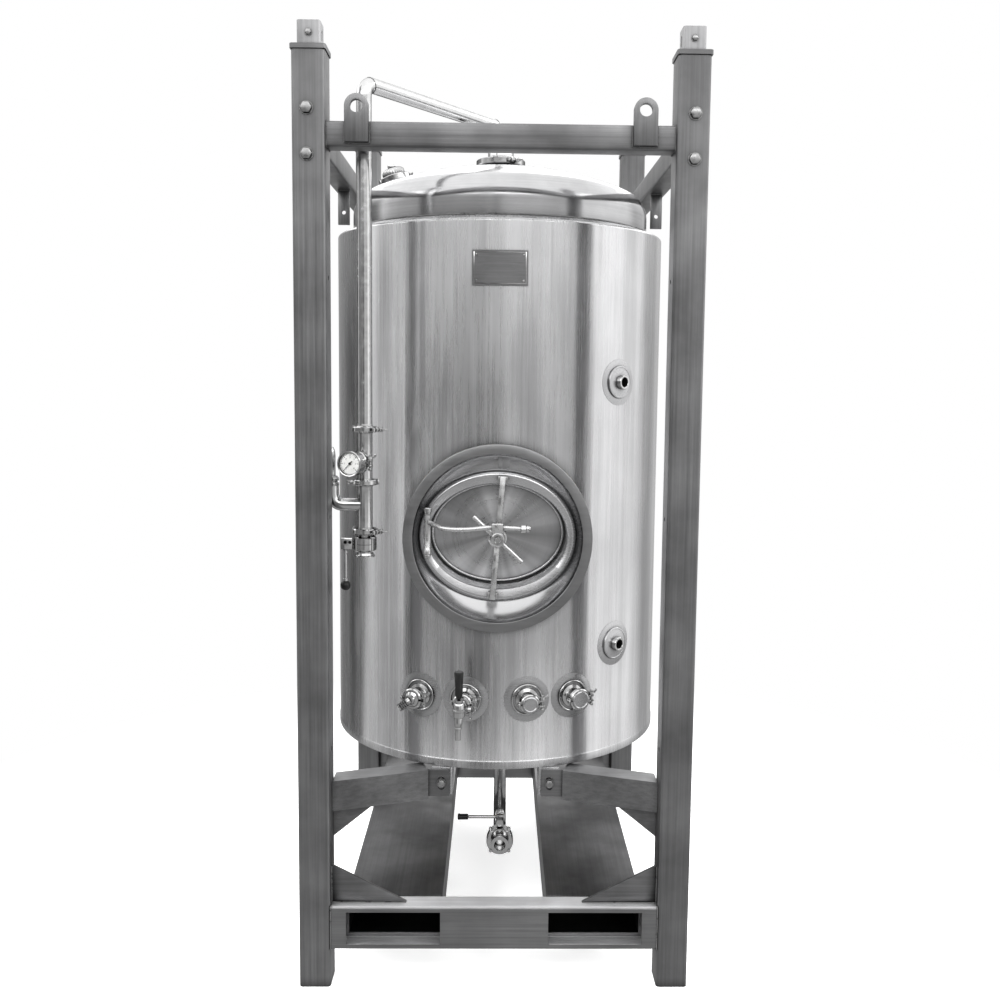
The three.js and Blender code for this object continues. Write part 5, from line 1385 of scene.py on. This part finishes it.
def make_column_valve():
    parts = valve_body(29, VALVE_TOP, VALVE_BOTTOM)
    parts.append(flange_end(VALVE_TOP - 1, CLAMPS_Z[2] - GAP, 24.5))
    parts.append(flange_end(VALVE_BOTTOM + 1, OUTLET_END, 25))
    fitting("column_valve_body", "column_valve", [placed(part, COLUMN) for part in parts])
    head = block((LEVER_X - 11, COLUMN_Y - 11, STEM_Z - 15), (COLUMN_X - 31, COLUMN_Y + 11, STEM_Z + 15), 3)
    lever = [head, placed(disc(DISC_RADIUS, STEM_Z - 2, STEM_Z + 2), COLUMN),
             rod((COLUMN_X, COLUMN_Y, STEM_Z), (LEVER_X, COLUMN_Y, STEM_Z), 5),
             rod((LEVER_X, COLUMN_Y, STEM_Z - 10), (LEVER_X, COLUMN_Y, BALL_Z + 9), 5.5, 24, 1.5),
             rod((LEVER_X, COLUMN_Y, BALL_Z + 19), (LEVER_X, COLUMN_Y, BALL_Z + 11), 7.2)]
    # Near-black discs paint the shade of the lever head's two sockets.
    socket = lathe([(0, 10.6), (4.2, 10.6), (4.2, 11.4), (2.4, 11.4), (2.4, 11.0), (0, 11.0)], 24)
    sockets = [placed(socket, at(x, COLUMN_Y, STEM_Z + 4, "front")) for x in (LEVER_X + 1, LEVER_X + 13)]
    ball = lathe([(0, -BALL_RADIUS)] + arc(0, 0, BALL_RADIUS, -80, 80, 16) + [(0, BALL_RADIUS)], 48)
    parts = made_of("fitting", *lever) + made_of("painted_hole_shade", *sockets)
    parts += made_of("black_plastic", placed(ball, at(LEVER_X, COLUMN_Y, BALL_Z)))
    piece("column_lever", parts, ["column_valve_lever"], "column_lever")


def make_column():
    for z, turn, name in zip(CLAMPS_Z, (-30, -150, -30), ("upper", "middle", "lower")):
        fitting(f"column_clamp_ring_{name}", "column_clamp_" + name,
                clamp(22, 32, 14, COLUMN @ at(0, 0, z) @ turn_z(turn)))
    make_tees()
    make_column_valve()


# ---------------------------------------------------------------- drain
DRAIN_X = 15
DRAIN_Z = 180
DRAIN = at(DRAIN_X, 0, DRAIN_Z, "front")
DRAIN_BACK = -118
DRAIN_FRONT = -150
DRAIN_OUTLET = -174
DRAIN_STEM_Y = (DRAIN_BACK + DRAIN_FRONT) / 2
DRAIN_LEVER_Z = 251
DRAIN_LEVER_END = -80


def make_drain():
    y, top = DRAIN_STEM_Y, DRAIN_LEVER_Z
    line = route([(DRAIN_X, 0, 600), (DRAIN_X, 0, DRAIN_Z), (DRAIN_X, DRAIN_BACK + 2, DRAIN_Z)], 60, 14)
    flange = lathe([(0, 106), (19, 106), (36, 108), (38, 110), (38, 117.7), (0, 117.7)], 64)
    parts = made_of("fitting", sweep(line, PIPE_RADIUS, 40), placed(flange, DRAIN))
    parts += made_of("weld_steel", placed(torus(20, 583, 3), at(DRAIN_X, 0, 0)))
    piece("drain_line", parts, ["drain_pipe"])
    body = valve_body(40, -DRAIN_FRONT, -DRAIN_BACK) + [flange_end(-DRAIN_FRONT - 1, -DRAIN_OUTLET, 27)]
    fitting("drain_valve_body", "drain_valve", [placed(part, DRAIN) for part in body])
    lever = [block((DRAIN_X - 12, y - 12, DRAIN_Z + 44), (DRAIN_X + 12, y + 12, top + 10), 3),
             rod((DRAIN_X, y, DRAIN_Z), (DRAIN_X, y, top), 5),
             rod((DRAIN_X, y, top), (DRAIN_LEVER_END, y, top), 5, 24, 1.5),
             placed(disc(DISC_RADIUS, -y - 2, -y + 2), DRAIN)]
    fitting("drain_lever_arm", "drain_valve_lever", lever, "drain_lever")
    grip = lathe([(0, 0.3), (7, 0.3), (8.5, 2), (8.5, 24), (9.5, 27), (9.5, 30), (7, 32), (0, 32)], 36)
    grip = placed(grip, basis((0, 1, 0), (0, 0, -1), (-1, 0, 0), (DRAIN_LEVER_END, y, top)))
    piece("drain_lever_grip", made_of("black_plastic", grip), ["drain_valve_grip"],
          "drain_lever")


# ---------------------------------------------------------------- studio
REFLECTED_ROOM = [(-180, 0.7), (-152, 0.35), (-128, 0.08), (-108, 0.12), (-100, 1.1), (-92, 0.62),
                  (-78, 0.42), (-60, 0.42), (-46, 0.25), (-24, 0.3), (-12, 0.14), (-3, 0.19), (5, 0.58),
                  (30, 0.66), (42, 0.52), (52, 0.8), (62, 1.3), (90, 1.4), (112, 1.35), (126, 0.6),
                  (150, 0.7), (180, 0.7)]
CEILING = 1.6
SOFTBOXES = 2.2
GROUND = 0.46
FLOOR_HALF = 14.0


def make_world():
    """A pale backdrop. Reflections see upright panels, a ring of softboxes, a ceiling and a floor."""
    world = bpy.data.worlds.new("studio")
    bpy.context.scene.world = world
    shader = Shader(world)
    xyz = shader.parts_of(shader.add("TexCoord").outputs["Generated"])
    ramp = shader.add("ValToRGB", {0: shader.spread(shader.azimuth(xyz), -math.pi, math.pi, 0.0, 1.0)})
    stops = ramp.color_ramp.elements
    for i, (degrees, level) in enumerate(REFLECTED_ROOM):
        place = (degrees + 180) / 360
        stop = stops[i] if i < 2 else stops.new(place)
        stop.position = place
        stop.color = (level / 2, level / 2, level / 2, 1)
    above = shader.spread(xyz[2], 0.1, 0.62, 0.0, 1.0)
    below = shader.spread(xyz[2], -0.1, -0.36, 0.0, 1.0)
    walls = shader.math("SUBTRACT", shader.math("SUBTRACT", 1.0, above), below)
    level = shader.times(shader.times(ramp.outputs[0], 2.0), walls)
    level = shader.plus(level, shader.times(above, CEILING))
    level = shader.plus(level, shader.times(below, GROUND))
    lower_edge = shader.spread(xyz[2], 0.34, 0.4, 0.0, SOFTBOXES)
    upper_edge = shader.spread(xyz[2], 0.52, 0.58, 1.0, 0.0)
    level = shader.plus(level, shader.times(lower_edge, upper_edge))
    room = shader.add("Background", {1: level}).outputs[0]
    backdrop = shader.add("Background", {0: (BACKDROP, BACKDROP, BACKDROP, 1), 1: 1.0}).outputs[0]
    seen = shader.add("LightPath").outputs["Is Camera Ray"]
    shader.finish(shader.add("MixShader", {0: seen, 1: room, 2: backdrop}).outputs[0], "OutputWorld")


def make_light(name, place, aim, size, power):
    data = bpy.data.lights.new(name, "AREA")
    data.shape = "RECTANGLE"
    data.size, data.size_y = size
    data.energy = power
    light = new_object(name, data)
    light.location = place
    light.visible_glossy = False
    light.rotation_euler = (Vector(aim) - Vector(place)).to_track_quat("-Z", "Y").to_euler()


def make_studio():
    make_world()
    make_light("key", (-3.2, -3.6, 4.6), (0, 0, 1.1), (2.4, 2.4), 420)
    make_light("fill", (3.8, -2.6, 3.2), (0, 0, 1.1), (1.6, 3.0), 220)
    make_light("top", (0, 0.6, 6.0), (0, 0, 1.0), (4.0, 4.0), 260)
    mesh = bpy.data.meshes.new("floor")
    corners = [(x * FLOOR_HALF, y * FLOOR_HALF, 0) for x, y in ((-1, -1), (1, -1), (1, 1), (-1, 1))]
    mesh.from_pydata(corners, [], [(0, 1, 2, 3)])
    mesh.materials.append(MATERIALS["floor"])
    floor = new_object("floor", mesh)
    floor.visible_glossy = False
    bpy.context.scene.view_settings.view_transform = "Standard"


make_camera()
make_materials()
make_frame()
make_jacket()
make_heads()
make_base_ring()
make_nameplate()
make_manway()
make_ports()
make_top_fittings()
make_column()
make_drain()
dress("insulation", "foam")
dress("vessel_shell", "dome")
make_studio()
